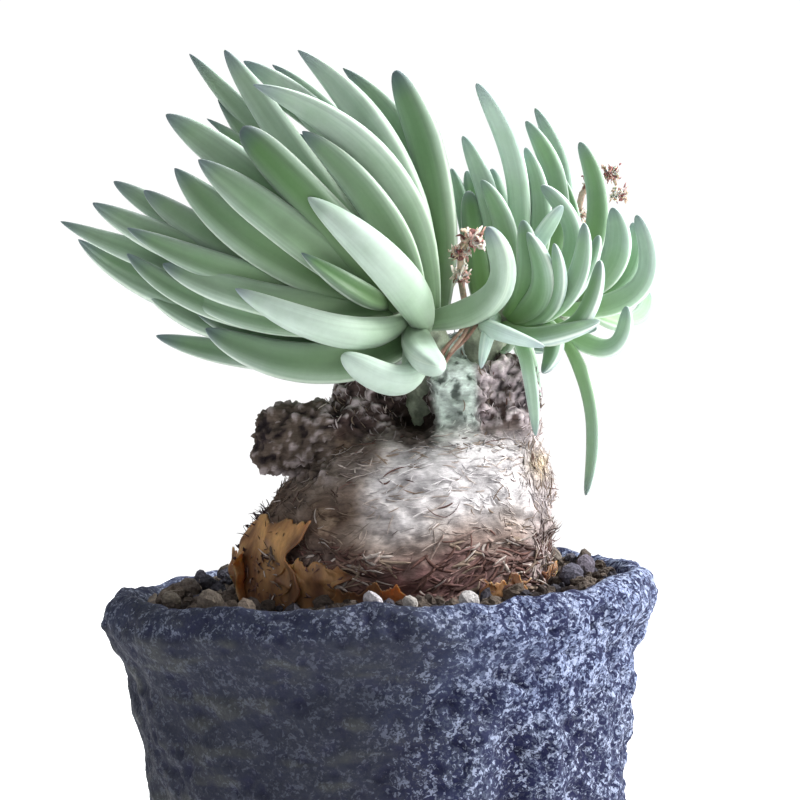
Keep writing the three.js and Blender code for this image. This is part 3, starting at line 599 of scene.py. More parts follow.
def stoneware_pot():
    """A lathe of the outline, pushed in and out by slow lobes, furrows, lumps on lumps of 5 and 2 mm, and
    pits where the distance to the nearest of scattered points is small."""
    outline = pot_outline()
    angle = np.linspace(-np.pi, np.pi, POT_AROUND, endpoint=False)[None, :]
    height = outline[:, :1]
    radius = outline[:, 1:]
    place = np.stack([radius * np.cos(angle), radius * np.sin(angle), height + 0 * angle], axis=-1)
    rows = np.arange(len(outline))[:, None]
    crest = int(outline[:, 0].argmax())
    outside = ease(height, 0.5, 3) * np.where(rows < len(outline) - 8, 1.0, 0.0)
    outside = outside * (1 - ease(rows, crest + 12, crest + 22))
    slow = (0.5 * np.sin(7 * angle + 0.11 * height) + 0.4 * np.sin(13 * angle - 0.23 * height)
            + 0.4 * np.sin(5 * angle + 0.37 * height) + 0.35 * np.sin(23 * angle + 0.61 * height))
    coarse_and_lit = 0.3 + 0.7 * ease(place[..., 0] + 7 * lumps(place, 9, 3), -6, 24)
    coarse_and_lit = np.maximum(coarse_and_lit, 0.75 * ease(place[..., 1], 0, 20))
    coarse_and_lit = np.maximum(coarse_and_lit, 0.55 * ease(height, 72, 77))
    lumped = rough(place, 5.0, 2, 5)
    grit = rough(place, 2.1, 3, 6)
    scattered = ease(lumps(place, 4.5, 33), -0.5, 0.4)
    near = grains(place + 0.9 * rough(place, 1.8, 2, 40)[..., None], 2.7, 7)
    pits = (1 - ease(near, 0.1, 0.6)) * scattered
    streaked = place @ np.array([[0.25, 0, 0], [0, 0.25, 0], [0.12, 0.12, 1.0]])
    streaks = rough(streaked, 1.6, 2, 23)
    relief = (coarse_and_lit * (0.45 * lumped + 0.5 * grit - 1.0 * pits)
              + (1 - coarse_and_lit) * (0.2 * lumped + 0.16 * grit + 0.2 * streaks - 0.45 * pits * scattered))
    push = outside * (POT_ROUGHNESS * slow + furrows(angle, height) + relief)
    place[..., 0] += push * np.cos(angle)
    place[..., 1] += push * np.sin(angle)
    on_rim = ease(outline[:, :1], POT_RIM_FROM, POT_RIM_FROM + 1.5) * np.ones_like(angle)
    place[..., 2] += on_rim * (crest_wave(angle) + 0.5 * rough(place, 3.5, 3, 9) * outside)
    # Dye: near black on the smooth left with olive streaks, slate blue on the rough right, navy in pits. The
    # left-to-right ramp is partly the skin's real change and partly painted shade on the left and painted
    # light on the right, where the key lamp falls. The dye also grows darker towards the bottom. Proud grit
    # is lighter as painted light, and pits, grit dips and furrows are navy as painted shade.
    smooth_and_shaded = (1 - coarse_and_lit)[..., None]
    # Painted light and shade along with the real change of skin: slate blue on the lit right, darker to the
    # left
    dye = linear("#30374a") + (linear("#66718f") - linear("#30374a")) * ease(coarse_and_lit, 0.5, 1.0)[..., None]
    dye = dye * (0.55 + 0.45 * ease(height + 4 * lumps(place, 7, 4), 58, 70))[..., None]
    # Painted light on proud grit and painted shade in its dips
    dye = dye * (1 + 0.22 * np.clip(grit + 0.5 * lumped, -1, 1)[..., None])
    # Near black over the smooth left: the skin's dark slate deepened by painted shade
    dye = dye + (linear("#20232e") - dye) * np.clip(1.3 * smooth_and_shaded, 0, 1)
    dye = dye + (linear("#3b3d39") - dye) * smooth_and_shaded * (0.8 * ease(streaks, 0.1, 0.7)[..., None])
    # Painted shade: navy in pits, grit dips and furrows
    furrow = np.clip(-0.8 * furrows(angle, height), 0, 1)
    shaded_hollow = np.clip(pits + 0.5 * ease(-grit, 0.3, 0.9) + furrow, 0, 1)[..., None]
    dye = dye + (linear("#1b1c36") - dye) * 0.85 * shaded_hollow * (0.4 + 0.6 * coarse_and_lit[..., None])
    points = np.vstack([place[0, :1], place[1:-1].reshape(-1, 3), place[-1, :1]])
    dye = np.concatenate([dye, (coarse_and_lit * np.ones_like(angle))[..., None]], axis=-1)
    dyes = np.vstack([dye[0, :1], dye[1:-1].reshape(-1, 4), dye[-1, :1]])
    pot = new_mesh("stoneware_pot", points, tube_faces(len(outline) - 2, POT_AROUND), {"dye": dyes})
    drills = []
    for i in range(3):
        turn = 2 * math.pi * i / 3 + math.pi / 2
        bpy.ops.mesh.primitive_cylinder_add(
            vertices=32, radius=DRAIN_RADIUS * MM, depth=4 * POT_FLOOR * MM,
            location=(DRAIN_CIRCLE * MM * math.cos(turn), DRAIN_CIRCLE * MM * math.sin(turn), 0),
        )
        drills.append(bpy.context.object)
    for drill in drills:
        cut = pot.modifiers.new("drain", "BOOLEAN")
        cut.operation = "DIFFERENCE"
        cut.solver = "MANIFOLD"
        cut.object = drill
    settled(pot)
    for drill in drills:
        bpy.data.objects.remove(drill)
    return pot


def settled(piece):
    """Turns the piece's modifiers into its mesh."""
    bpy.context.view_layer.update()
    graph = bpy.context.evaluated_depsgraph_get()
    mesh = bpy.data.meshes.new_from_object(piece.evaluated_get(graph))
    piece.modifiers.clear()
    piece.data = mesh
    return piece


# Soil and gravel

def soil_level(y):
    return SOIL_LEVEL + SOIL_MOUND * ease(y, -20, 30)


def gravel_bed():
    """A disc of fine soil over a plain body: rings of radius r at level(y) plus lumps of 3 mm."""
    body = [(6.0, 27.5), (65, 36.4), (74, SOIL_RADIUS), (76, SOIL_RADIUS)]
    radii = np.concatenate([[r for _, r in body], np.linspace(SOIL_RADIUS, 0.8, 44)])
    angle = np.linspace(-np.pi, np.pi, SOIL_AROUND, endpoint=False)[None, :]
    x = radii[:, None] * np.cos(angle)
    y = radii[:, None] * np.sin(angle)
    flat = np.stack([x, y, 0 * x], axis=-1)
    top = soil_level(y) - 0.6 + 0.9 * rough(flat, 3.2, 4, 61)
    z = np.concatenate([np.full_like(x[:4], 1) * np.array([h for h, _ in body])[:, None], top[4:]])
    place = np.stack([x, y, z], axis=-1)
    shade = ease(rough(flat, 2.4, 3, 67), -0.8, 0.9)[..., None]
    dye = linear("#3a3230") * (1 - shade) + linear("#6e6357") * shade
    points = np.vstack([[[0, 0, 6.0]], place.reshape(-1, 3), [[0, 0, place[-1, 0, 2]]]])
    dyes = np.vstack([dye[0, :1], dye.reshape(-1, 3), dye[-1, :1]])
    return new_mesh("gravel_bed", points, tube_faces(len(radii), SOIL_AROUND), {"dye": dyes})


def turned_at_random(count):
    """Random rotations, from three random angles each."""
    a, b, c = rng.uniform(0, 2 * np.pi, (3, count))
    zero, one = np.zeros(count), np.ones(count)
    about_z = np.stack([np.cos(a), -np.sin(a), zero, np.sin(a), np.cos(a), zero, zero, zero, one], -1)
    about_x = np.stack([one, zero, zero, zero, np.cos(b), -np.sin(b), zero, np.sin(b), np.cos(b)], -1)
    about_y = np.stack([np.cos(c), zero, np.sin(c), zero, one, zero, -np.sin(c), zero, np.cos(c)], -1)
    return about_z.reshape(-1, 3, 3) @ about_x.reshape(-1, 3, 3) @ about_y.reshape(-1, 3, 3)


def stones(name, centres, sizes, tones, around=9, rings=5, rugged=0.45):
    """Angular stones: spheres of a few faces whose points are pulled in at random, squashed and turned."""
    count = len(centres)
    lat = np.pi * (np.arange(rings) + 1) / (rings + 1)
    lon = 2 * np.pi * np.arange(around) / around
    ring = np.stack([np.sin(lat)[:, None] * np.cos(lon), np.sin(lat)[:, None] * np.sin(lon),
                     np.cos(lat)[:, None] + 0 * lon], axis=-1).reshape(-1, 3)
    ball = np.vstack([[[0, 0, 1]], ring, [[0, 0, -1]]])
    shape = ball[None] * (1 - rugged * rng.random((count, len(ball), 1)) ** 0.8)
    shape = shape * np.array([1.0, 0.85, 0.7]) * rng.uniform(0.85, 1.15, (count, 1, 3))
    placed = np.einsum("nij,nkj->nki", turned_at_random(count), shape) * sizes[:, None, None]
    points = placed + centres[:, None]
    faces = [copies_of(f, count, len(ball)) for f in tube_faces(rings, around)]
    dye = np.repeat(tones[:, None], len(ball), axis=1)
    return new_mesh(name, points.reshape(-1, 3), faces, {"dye": dye}, smooth=False)


def gravel_stones():
    """Stones scattered over the ring between the caudex and the pot, smaller ones more often."""
    count = GRAVEL_STONES
    angle = rng.uniform(0, 2 * np.pi, count)
    reach = np.sqrt(rng.uniform(22.0 ** 2, 37.0 ** 2, count))
    size = 0.7 + 1.9 * rng.random(count) ** 2.2
    reach = np.minimum(reach, 38.0 - size)
    x, y = reach * np.cos(angle) + 1.5, reach * np.sin(angle)
    z = soil_level(y) + size * rng.uniform(-0.3, 0.45, count)
    mix = rng.random(count)[:, None]
    tones = linear("#332c2b") * (1 - mix) + linear("#695e55") * mix
    cool = (rng.random(count) < 0.2)[:, None]
    tones = np.where(cool, linear("#45434b") * (0.5 + 0.8 * mix), tones)
    return stones("gravel_stones", np.stack([x, y, z], axis=-1), size, tones)


def pale_pebbles():
    """A few larger pebbles by the front rim and at the back, with more faces than the rest."""
    spots = np.array([
        [-0.5, -34, 79.6, 2.0], [5, -35, 79.2, 1.7], [14, -34, 79.0, 2.2], [-26, -20, 79.5, 2.3],
        [-31, 4, 79.4, 2.4], [31, -8, 79.6, 2.6], [34, 3, 79.8, 2.2], [29, 17, 80.2, 2.6],
        [-20, 24, 80.4, 2.5], [-33, -9, 79.0, 2.0], [4, 32, 80.6, 2.4],
    ])
    tones = np.array([linear(c) for c in (
        "#bdb8bd", "#a9a49f", "#b3afae", "#7c7268", "#6a615b", "#5c5a66", "#6b6570", "#7a7169", "#6e655d",
        "#80776c", "#8d857b",
    )])
    return stones("pale_pebbles", spots[:, :3], spots[:, 3], tones, around=11, rings=7, rugged=0.16)


# Caudex

def caudex_centre(height):
    return 3 + 5 * ease(height, 84, 102)


def caudex_radius(angle, height):
    """The outline's radius at a height, swollen by lobes of the angle above the soil."""
    levels, radii = np.array(CAUDEX_OUTLINE[1:], float).T
    lobes = (0.03 * np.sin(3 * angle + 0.6) + 0.018 * np.sin(5 * angle - 0.25 * height)
             + 0.012 * np.sin(11 * angle + 0.9 * height))
    return np.interp(height, levels, radii) * (1 + ease(height, 79, 85) * lobes)


def round_tube(line, radii, around, relief):
    """Rings round a line for a closed tube with blunt ends, its radius swollen by relief(angle, share)."""
    shares = np.linspace(0, 1, len(radii))
    centre = at(line, shares)
    tangent = directions(centre)
    towards = np.array([0.02, -1, 0.01])
    front = unit(towards - tangent * (tangent @ towards)[:, None])
    side = np.cross(tangent, front)
    angle = 2 * np.pi * np.arange(around) / around
    reach = np.asarray(radii)[:, None] * relief(angle[None, :], shares[:, None])
    ring = (centre[:, None] + side[:, None] * (reach * np.cos(angle))[..., None]
            + front[:, None] * (reach * np.sin(angle))[..., None])
    return np.vstack([centre[:1], ring.reshape(-1, 3), centre[-1:]]), tube_faces(len(radii), around)


def bark_zones(p):
    """Shares from 0 to 1 of the bark's kinds, by place: knobbly stub, craggy necks, green stem, the dip
    between the necks that takes painted shade, silvery middle, brown left side, red foot and the pale right
    edge."""
    x, y, z = p[:, 0], p[:, 1], p[:, 2]
    wander = 3 * lumps(p, 7, 71)
    stub = (1 - ease(x + 0.4 * wander, -9, -5)) * ease(z, 95.5, 98)
    neck = ease(z + 0.5 * wander, 101, 106) * (1 - stub)
    front = 1 - ease(y, -2, 3)
    green = neck * front * (1 - ease(np.abs(x - 14.0 + 0.3 * wander), 2.6, 4.2))
    # The dip between the necks, which the bark's dye paints dark as shade
    shaded_hollow = front * np.exp(-(((x - 7.0) / 3.6) ** 2 + ((z - 105.5) / 4.0) ** 2)) * (1 - green)
    silver = ease(x + wander, -4, 6) * ease(z + 0.8 * wander, 85, 92) * (1 - neck) * (1 - stub)
    patch = np.exp(-((x + 3 + wander) / 5) ** 2 - ((z - 99) / 2.5) ** 2)
    silver = np.maximum(silver, 0.6 * patch * (1 - stub))
    brown = (1 - ease(x + 1.3 * wander, -6, 5)) * (1 - stub)
    foot = 1 - ease(z + 0.8 * wander, 82, 90)
    edge = ease(x + 0.5 * wander, 22, 27) * (1 - neck)
    return stub, neck, green, shaded_hollow, silver, brown, foot, edge


def bark_dye(p, height):
    """The bark's colour by zone, with painted shade in its crevices and in the dip between the necks, and
    paler on its ridges.
    """
    stub, neck, green, shaded_hollow, silver, brown, foot, edge = bark_zones(p)
    fine = rough(p, 1.3, 3, 81)
    broad = rough(p, 5, 2, 85)
    crumb = rough(p, 0.9, 2, 86)
    right = ease(p[:, 0], 15, 19)
    ridge = ease(height + 0.7 * crumb, 0.1, 0.9)
    spot = np.exp(-(((p[:, 0] - 27) / 1.8) ** 2 + ((p[:, 2] - 97) / 2.0) ** 2 + ((p[:, 1] + 6) / 9) ** 2))
    dye = np.repeat(linear("#9c8e83")[None], len(p), axis=0)
    for colour, share in (
        ("#c9c5c6", silver * (0.95 + 0.3 * broad)),
        ("#4b3a30", brown * (0.85 + 0.3 * broad)),
        ("#8d7a68", brown * ease(broad + 0.5 * crumb, 0.2, 0.9) * 0.8),
        ("#735553", foot * (1 - 0.5 * brown) * (0.8 + 0.4 * broad)),
        ("#b9adac", edge * 0.7),
        ("#4a3b39", neck * 0.95),
        ("#b5a8ac", neck * right * ease(broad + crumb, -0.7, 0.2)),
        ("#564b43", stub),
        ("#cbd8d0", green),
        ("#3f4b43", green * ease(-crumb - 0.4 * fine, 0.25, 0.6) * 0.8),
        ("#ddd0d2", (neck * (1 - green) * (0.7 + 0.3 * right) + stub * 0.35) * ridge),
        # Painted shade: near black where the relief is low, in the crevices between knobs and wrinkles
        ("#1c151a", (1 - ease(height + 0.3 * fine, -0.9, -0.1))
         * (0.35 + 0.6 * neck + 0.6 * stub) * (1 - 0.6 * green)),
        # Painted shade: dark brown in the dip between the necks
        ("#2a2019", shaded_hollow),
        ("#d3bd95", 0.7 * spot),
    ):
        dye = dye + (linear(colour) - dye) * np.clip(share, 0, 1)[:, None]
    return np.clip(dye * (1 + 0.25 * fine)[:, None], 0, 1)


def caudex_bark():
    """The swollen base and its limbs as overlapping closed shells, joined by a voxel remesh, then pushed
    along the normals by lumps: knobs round scattered points on stub and necks, wrinkles elsewhere."""
    height = np.concatenate([np.linspace(70, 100, 44), np.linspace(100.6, 104.95, 12)])
    angle = np.linspace(-np.pi, np.pi, CAUDEX_AROUND, endpoint=False)
    reach = caudex_radius(angle[None, :], height[:, None])
    x = caudex_centre(height)[:, None] + reach * np.cos(angle)
    place = np.stack([x, reach * np.sin(angle), height[:, None] + 0 * reach], axis=-1)
    points = [np.vstack([[[3, 0, 70]], place.reshape(-1, 3), [[8, 0, 105]]])]
    quads, fans = tube_faces(len(height), CAUDEX_AROUND)
    quads, fans = [quads[:, ::-1]], [fans[:, ::-1]]
    for line, foot, end in LIMBS:
        radii = np.linspace(foot, end, 14)
        radii[-2:] *= [0.9, 0.55]
        ring, (q, f) = round_tube(through(line), radii, 28, lambda a, s: (
            1 + 0.1 * np.sin(3 * a + 9 * s) + 0.08 * np.sin(5 * a - 23 * s)))
        shift = sum(len(part) for part in points)
        points.append(ring)
        quads.append(q + shift)
        fans.append(f + shift)
    piece = new_mesh("caudex_bark", np.vstack(points), [np.vstack(quads), np.vstack(fans)])
    remesh = piece.modifiers.new("skin", "REMESH")
    remesh.mode = "VOXEL"
    remesh.voxel_size = BARK_VOXEL * MM
    settled(piece)
    mesh = piece.data
    p, n = points_of(mesh), normals_of(mesh)
    stub, neck, green, shaded_hollow, *_ = bark_zones(p)
    knobbly = np.clip(stub + neck * (1 - 0.8 * green), 0, 1)
    near = grains(p + 0.5 * rough(p, 1.6, 2, 91)[:, None], 1.9, 93)
    near_small = grains(p, 1.0, 97)
    knobs = 0.8 * (0.5 - near) + 0.5 * (0.5 - near_small) + 0.3 * rough(p, 0.9, 2, 98)
    swirl = p + 2.0 * np.stack([lumps(p, 8, 101 + k) for k in range(3)], axis=-1)
    threads = rough(swirl * np.array([0.28, 0.28, 1.0]), 1.1, 3, 105)
    wrinkles = 0.35 * threads + 0.45 * rough(p, 4.5, 3, 109)
    push = knobbly * (1.5 * knobs + 0.75 * rough(p, 4.2, 2, 113)) + (1 - knobbly) * wrinkles
    push -= 0.9 * shaded_hollow
    mesh.vertices.foreach_set("co", ((p + n * push[:, None]) * MM).astype(np.float32).ravel())
    mesh.update()
    mesh.polygons.foreach_set("use_smooth", np.full(len(mesh.polygons), True))
    give(mesh, "dye", bark_dye(p, push / np.maximum(np.where(knobbly > 0.5, 0.9, 0.45), 0.1)))
    return piece


def bark_fibres(skin):
    """Threads and flakes of bark lying on the skin: each starts at a point of the skin, runs in the tangent
    plane, follows the skin's curve by d²/2R and lifts at one end. Section: a flat lens of four points."""
    p, n = points_of(skin.data), normals_of(skin.data)
    stub, neck, green, shaded_hollow, silver, brown, foot, edge = bark_zones(p)
    density = (0.15 + 0.55 * silver + 0.8 * foot + 0.5 * brown + 0.8 * edge + 0.5 * neck) * (p[:, 2] > 77.5)
    density *= (1 - 0.7 * stub) * (1 - 0.9 * green) * (1 - shaded_hollow)
    count = BARK_FIBRES
    pick = rng.choice(len(p), count, p=density / density.sum())
    spot, normal = p[pick], unit(n[pick] + 0.15 * rng.normal(size=(count, 3)))
    radius = np.where(neck[pick] + stub[pick] > 0.5, 6.0, 24.0)
    level = unit(np.cross([0, 0, 1], normal))
    upward = np.cross(normal, level)
    turn = 0.9 * lumps(spot, 9, 121) + 0.45 * rng.normal(size=count)
    turn = turn + np.where(edge[pick] > 0.5, 1.3, 0) + np.where(neck[pick] > 0.5, 1.1, 0)
    forward = level * np.cos(turn)[:, None] + upward * np.sin(turn)[:, None]
    length = rng.uniform(1.2, 4.5, count) * np.where(foot[pick] > 0.5, 1.4, 1) * np.where(radius < 10, 0.5, 1)
    width = rng.uniform(0.1, 0.32, count) * np.where(foot[pick] > 0.4, 2.2, 1)
    lift = rng.random(count) ** 5 * np.where(foot[pick] > 0.4, 1.7, 0.6)
    # A loose tuft of dark rootlets at the far left
    x, y, z = spot.T
    tuft = (x < -17) & (y > -7) & (z > 84) & (z < 93) & (rng.random(count) < 0.7)
    lift = np.where(tuft, 1.6, lift)
    bend = rng.normal(size=count) * 0.5
    rings = 8
    t = np.linspace(-0.5, 0.5, rings)[None, :]
    d = length[:, None] * t
    side = np.cross(normal, forward)
    sway = bend[:, None] * d ** 2 / np.maximum(length, 1)[:, None]
    rise = (0.12 - d ** 2 / (2 * radius[:, None])
            + lift[:, None] * ease(t, 0.0, 0.5) + 0.2 * lift[:, None] * ease(-t, 0.2, 0.5))
    centre = (spot[:, None] + forward[:, None] * d[..., None] + side[:, None] * sway[..., None]
              + normal[:, None] * rise[..., None])
    taper = np.sqrt(np.clip(1 - (2 * np.abs(t)) ** 2.5, 0, 1)) * np.ones((count, 1))
    lens = np.array([0, 0.5, 1.0, 1.5]) * np.pi
    across = (width / 2)[:, None, None] * taper[..., None] * np.cos(lens)
    deep = 0.09 * taper[..., None] * np.sin(lens) * np.ones((count, 1, 1))
    tone = bark_dye(spot, 0.5 + 0 * spot[:, 0])
    tone = tone * rng.uniform(0.65, 1.35, (count, 1))
    pale = (rng.random(count) < 0.08 + 0.2 * silver[pick] + 0.2 * foot[pick])[:, None]
    tone = np.where(pale, linear("#b9ada6") * rng.uniform(0.6, 1.2, (count, 1)), tone)
    rust = (rng.random(count) < 0.05 + 0.4 * foot[pick])[:, None]
    tone = np.where(rust, linear("#624842") * rng.uniform(0.4, 1.5, (count, 1)), tone)
    tone = np.where((rng.random(count) < 0.12)[:, None], linear("#8b7a6c") + 0 * tone, tone)
    tone = np.where(tuft[:, None], linear("#4c3a40") + 0 * tone, tone)
    dye = np.broadcast_to(np.clip(tone, 0, 1)[:, None, None], (count, rings, 4, 3))
    sides = np.broadcast_to(side[:, None], centre.shape)
    fronts = np.broadcast_to(normal[:, None], centre.shape)
    return tubes("bark_fibres", centre, sides, fronts, across, deep, 4, {"dye": dye})


def papery_sheet(angle_from, angle_to, high, lift, folds, seed):
    """One thin sheet of peeling bark standing off the caudex: a grid of angle and height whose lift grows
    towards its free edge, with upright folds as sines of the angle, a ragged top edge, and a thickness."""
    across, up = 36, 30
    u = np.linspace(0, 1, across)[None, :]
    v = np.linspace(0, 1, up)[:, None]
    edge = np.stack([u * 9, u * 0, u * 0 + seed], axis=-1)
    ragged = 0.9 * rough(edge, 1.0, 3, 130 + seed)[0][None, :]
    angle = np.radians(angle_from + (angle_to - angle_from) * u + 4 * lumps(np.stack(
        [v * 6, v * 0, v * 0 + seed], axis=-1), 1.0, 140 + seed)[:, :1] * (2 * u - 1))
    height = PAPERY_FOOT + (high - PAPERY_FOOT + ragged) * v
    off = (0.6 + lift * (0.25 * v ** 3 + 0.6 * (2 * np.abs(u - 0.45)) ** 4)
           + 0.3 * np.sin(folds * np.pi * u + 1.2 * v) * (0.5 + 0.5 * v) + 0.25 * rough(np.stack(
               [9 * u + 0 * v, 9 * v + 0 * u, seed + 0 * u * v], axis=-1), 3.0, 3, 145))
    skins = []
    for depth in (0.0, -0.32):
        reach = caudex_radius(angle, height) + off + depth
        skins.append(np.stack([caudex_centre(height) + reach * np.cos(angle), reach * np.sin(angle),
                               height + 0 * reach], axis=-1))
    outer, inner = (skin.reshape(-1, 3) for skin in skins)
    grid = np.arange(across * up).reshape(up, across)
    faces = np.stack([grid[:-1, :-1], grid[:-1, 1:], grid[1:, 1:], grid[1:, :-1]], axis=-1).reshape(-1, 4)
    rim = np.concatenate([grid[0, :-1], grid[:-1, -1], grid[-1, :0:-1], grid[:0:-1, 0]])
    following = np.roll(rim, -1)
    count = across * up
    walls = np.stack([following, rim, rim + count, following + count], axis=-1)
    shade = ease(rough(np.vstack([outer, outer]) * [1, 1, 0.35], 2.2, 3, 150 + seed), -0.9, 0.9)[:, None]
    low_down = ease(np.concatenate([outer[:, 2], inner[:, 2]]), 90, 77)[:, None]
    dye = linear("#6d4a30") * (1 - shade) + linear("#c4935c") * shade
    dye = dye + (linear("#4a291d") - dye) * 0.65 * low_down
    return np.vstack([outer, inner]), np.vstack([faces, faces[:, ::-1] + count, walls]), dye


def papery_bark():
    sheets = [papery_sheet(*row, seed) for seed, row in enumerate(PAPERY_SHEETS, 1)]
    starts = np.cumsum([0] + [len(points) for points, _, _ in sheets])
    faces = np.vstack([f + start for (_, f, _), start in zip(sheets, starts)])
    points = np.vstack([points for points, _, _ in sheets])
    return new_mesh("papery_bark", points, [faces], {"dye": np.vstack([dye for _, _, dye in sheets])})


# Leafy crowns

def leaf_line(row, stem):
    """The leaf's midline as a quadratic Bézier from its root through its middle to its tip, and its face."""
    tip, middle = np.array(row[:3], float), np.array(row[3:6], float)
    foot = at(stem, row[7])[0]
    near, far = np.linalg.norm(foot - middle), np.linalg.norm(middle - tip)
    share = near / (near + far)
    bow = middle - (foot + (tip - foot) * share)
    control = (middle - foot * (1 - share) ** 2 - tip * share ** 2) / (2 * share * (1 - share))
    t = np.linspace(0, 1, 80)[:, None]
    line = foot * (1 - t) ** 2 + 2 * control * t * (1 - t) + tip * t ** 2
    face = 0.5 * unit(stem[-1] - middle) - bow / max(np.linalg.norm(bow), 1)
    return line, face


def with_twins(rows):
    """The rows, and after them a twin behind the stem for each front one: y mirrored and scaled, and all
    six coordinates swayed by sines of the twin's number."""
    made = list(rows)
    for i, row in enumerate([row for row in rows if row[4] < TWIN_FROM_Y]):
        sway = TWIN_SWAY * np.sin(37 * i + 11 * np.arange(1, 7))
        turned = np.array(row[:6]) * [1, -TWIN_DEPTH, 1, 1, -TWIN_DEPTH, 1] + sway
        made.append([*turned, *row[6:]])
    return made


def crown(name, rows, blooms_and_light, slim, stem_points, bluntness, root_share):
    """A crown's leaves as closed tubes along their midlines. The half-width grows from a share at the root
    to 1 and falls as (1-x^p)^q to the tip; the section is a rounded D with a groove on its flat face. Faces
    of all but the foremost leaves turn to the front, where the growing tip is."""
    stem = through(stem_points)
    run = 1 - (1 - np.linspace(0, 1, LEAF_RINGS)) ** 1.5
    angle = 2 * np.pi * np.arange(LEAF_AROUND) / LEAF_AROUND
    x, y = np.cos(angle), np.sin(angle)
    centres, sides, fronts, acrosses, deeps, places = [], [], [], [], [], []
    for i, row in enumerate(rows):
        line, face = leaf_line(row, stem)
        face = face + np.array([0, -LEAF_FACING, 0.1]) * ease(row[4], -24, -20)
        blunt = np.clip(bluntness + 0.2 * np.sin(5.3 * i), 0, 1)
        if row is CROSSING_LEAF:
            face = face + np.array([1.0, 1.5, 0])
        if row[1] < -23 or row is CROSSING_LEAF or (rows[0] is LEFT_LEAVES[0] and i in BLUNT_LEAVES):
            blunt = 1.0
        chord = unit(line[-1] - line[0])
        face = face - chord * (chord @ face)
        centre = at(line, run)
        tangent = directions(centre)
        front = unit(face - tangent * (tangent @ face)[:, None])
        twist = 0.25 * np.sin(2.1 * i) * run[:, None]
        side = np.cross(tangent, front)
        front, side = (front * np.cos(twist) + side * np.sin(twist),
                       side * np.cos(twist) - front * np.sin(twist))
        late = np.clip((run - 0.45) / 0.55, 0, 1)
        half = root_share + (1 - root_share) * ease(run, 0, 0.45)
        half = half * (1 - late ** (2.4 + 1.4 * blunt)) ** (0.76 - 0.26 * blunt) * slim.get(i, 1) * row[6] / 2
        half = half * (1 + 0.03 * np.sin(9 * run + i))
        groove = (0.55 - 0.3 * blunt) * np.exp(-(x / 0.5) ** 2) * ease(run, 0.1, 0.4)[:, None]
        upper = LEAF_UPPER + 0.2 * blunt
        flat = np.where(y > 0, upper * y * (1 - groove * (y > 0)), LEAF_LOWER * y)
        swell = 1 + 0.035 * lumps(np.stack([x * 1.5 + 0 * run[:, None], y * 1.5 + 0 * run[:, None],
                                            8 * run[:, None] + 3 * i + 0 * x], axis=-1), 1.0, 160)
        centres.append(centre)
        sides.append(side)
        fronts.append(front)
        acrosses.append(half[:, None] * x * swell)
        deeps.append(half[:, None] * flat * swell)
        # Each leaf's bloom value also paints in how brightly the leaf is lit
        milky_and_lit = CROSSING_BLOOM_AND_LIGHT if row is CROSSING_LEAF else blooms_and_light[i % len(blooms_and_light)]
        grid = 0 * x * run[:, None]
        places.append(np.stack([run[:, None] + grid, y + grid, milky_and_lit + grid], axis=-1))
    return tubes(name, np.array(centres), np.array(sides), np.array(fronts), np.array(acrosses),
                 np.array(deeps), LEAF_AROUND, {"leaf_place": np.array(places)})


def crown_stem(name, stem_points):
    """A green-grey stem with rows of leaf scars: its radius swells where a spiral of bumps passes."""
    radii = np.interp(np.linspace(0, 1, 60), [0, 0.5, 0.95, 1], [3.4, 3.4, 2.4, 1.2])
    points, faces = round_tube(through(stem_points), radii, 40, lambda a, s: (
        1 + 0.1 * np.maximum(np.sin(3 * a + 40 * s), 0) * np.maximum(np.sin(2 * a - 60 * s), 0)))
    shade = ease(rough(points, 1.6, 3, 171), -0.7, 0.7)[:, None]
    dye = linear("#6c7263") * (1 - shade) + linear("#a9b39c") * shade
    return new_mesh(name, points, faces, {"dye": dye})


# Withered flowers

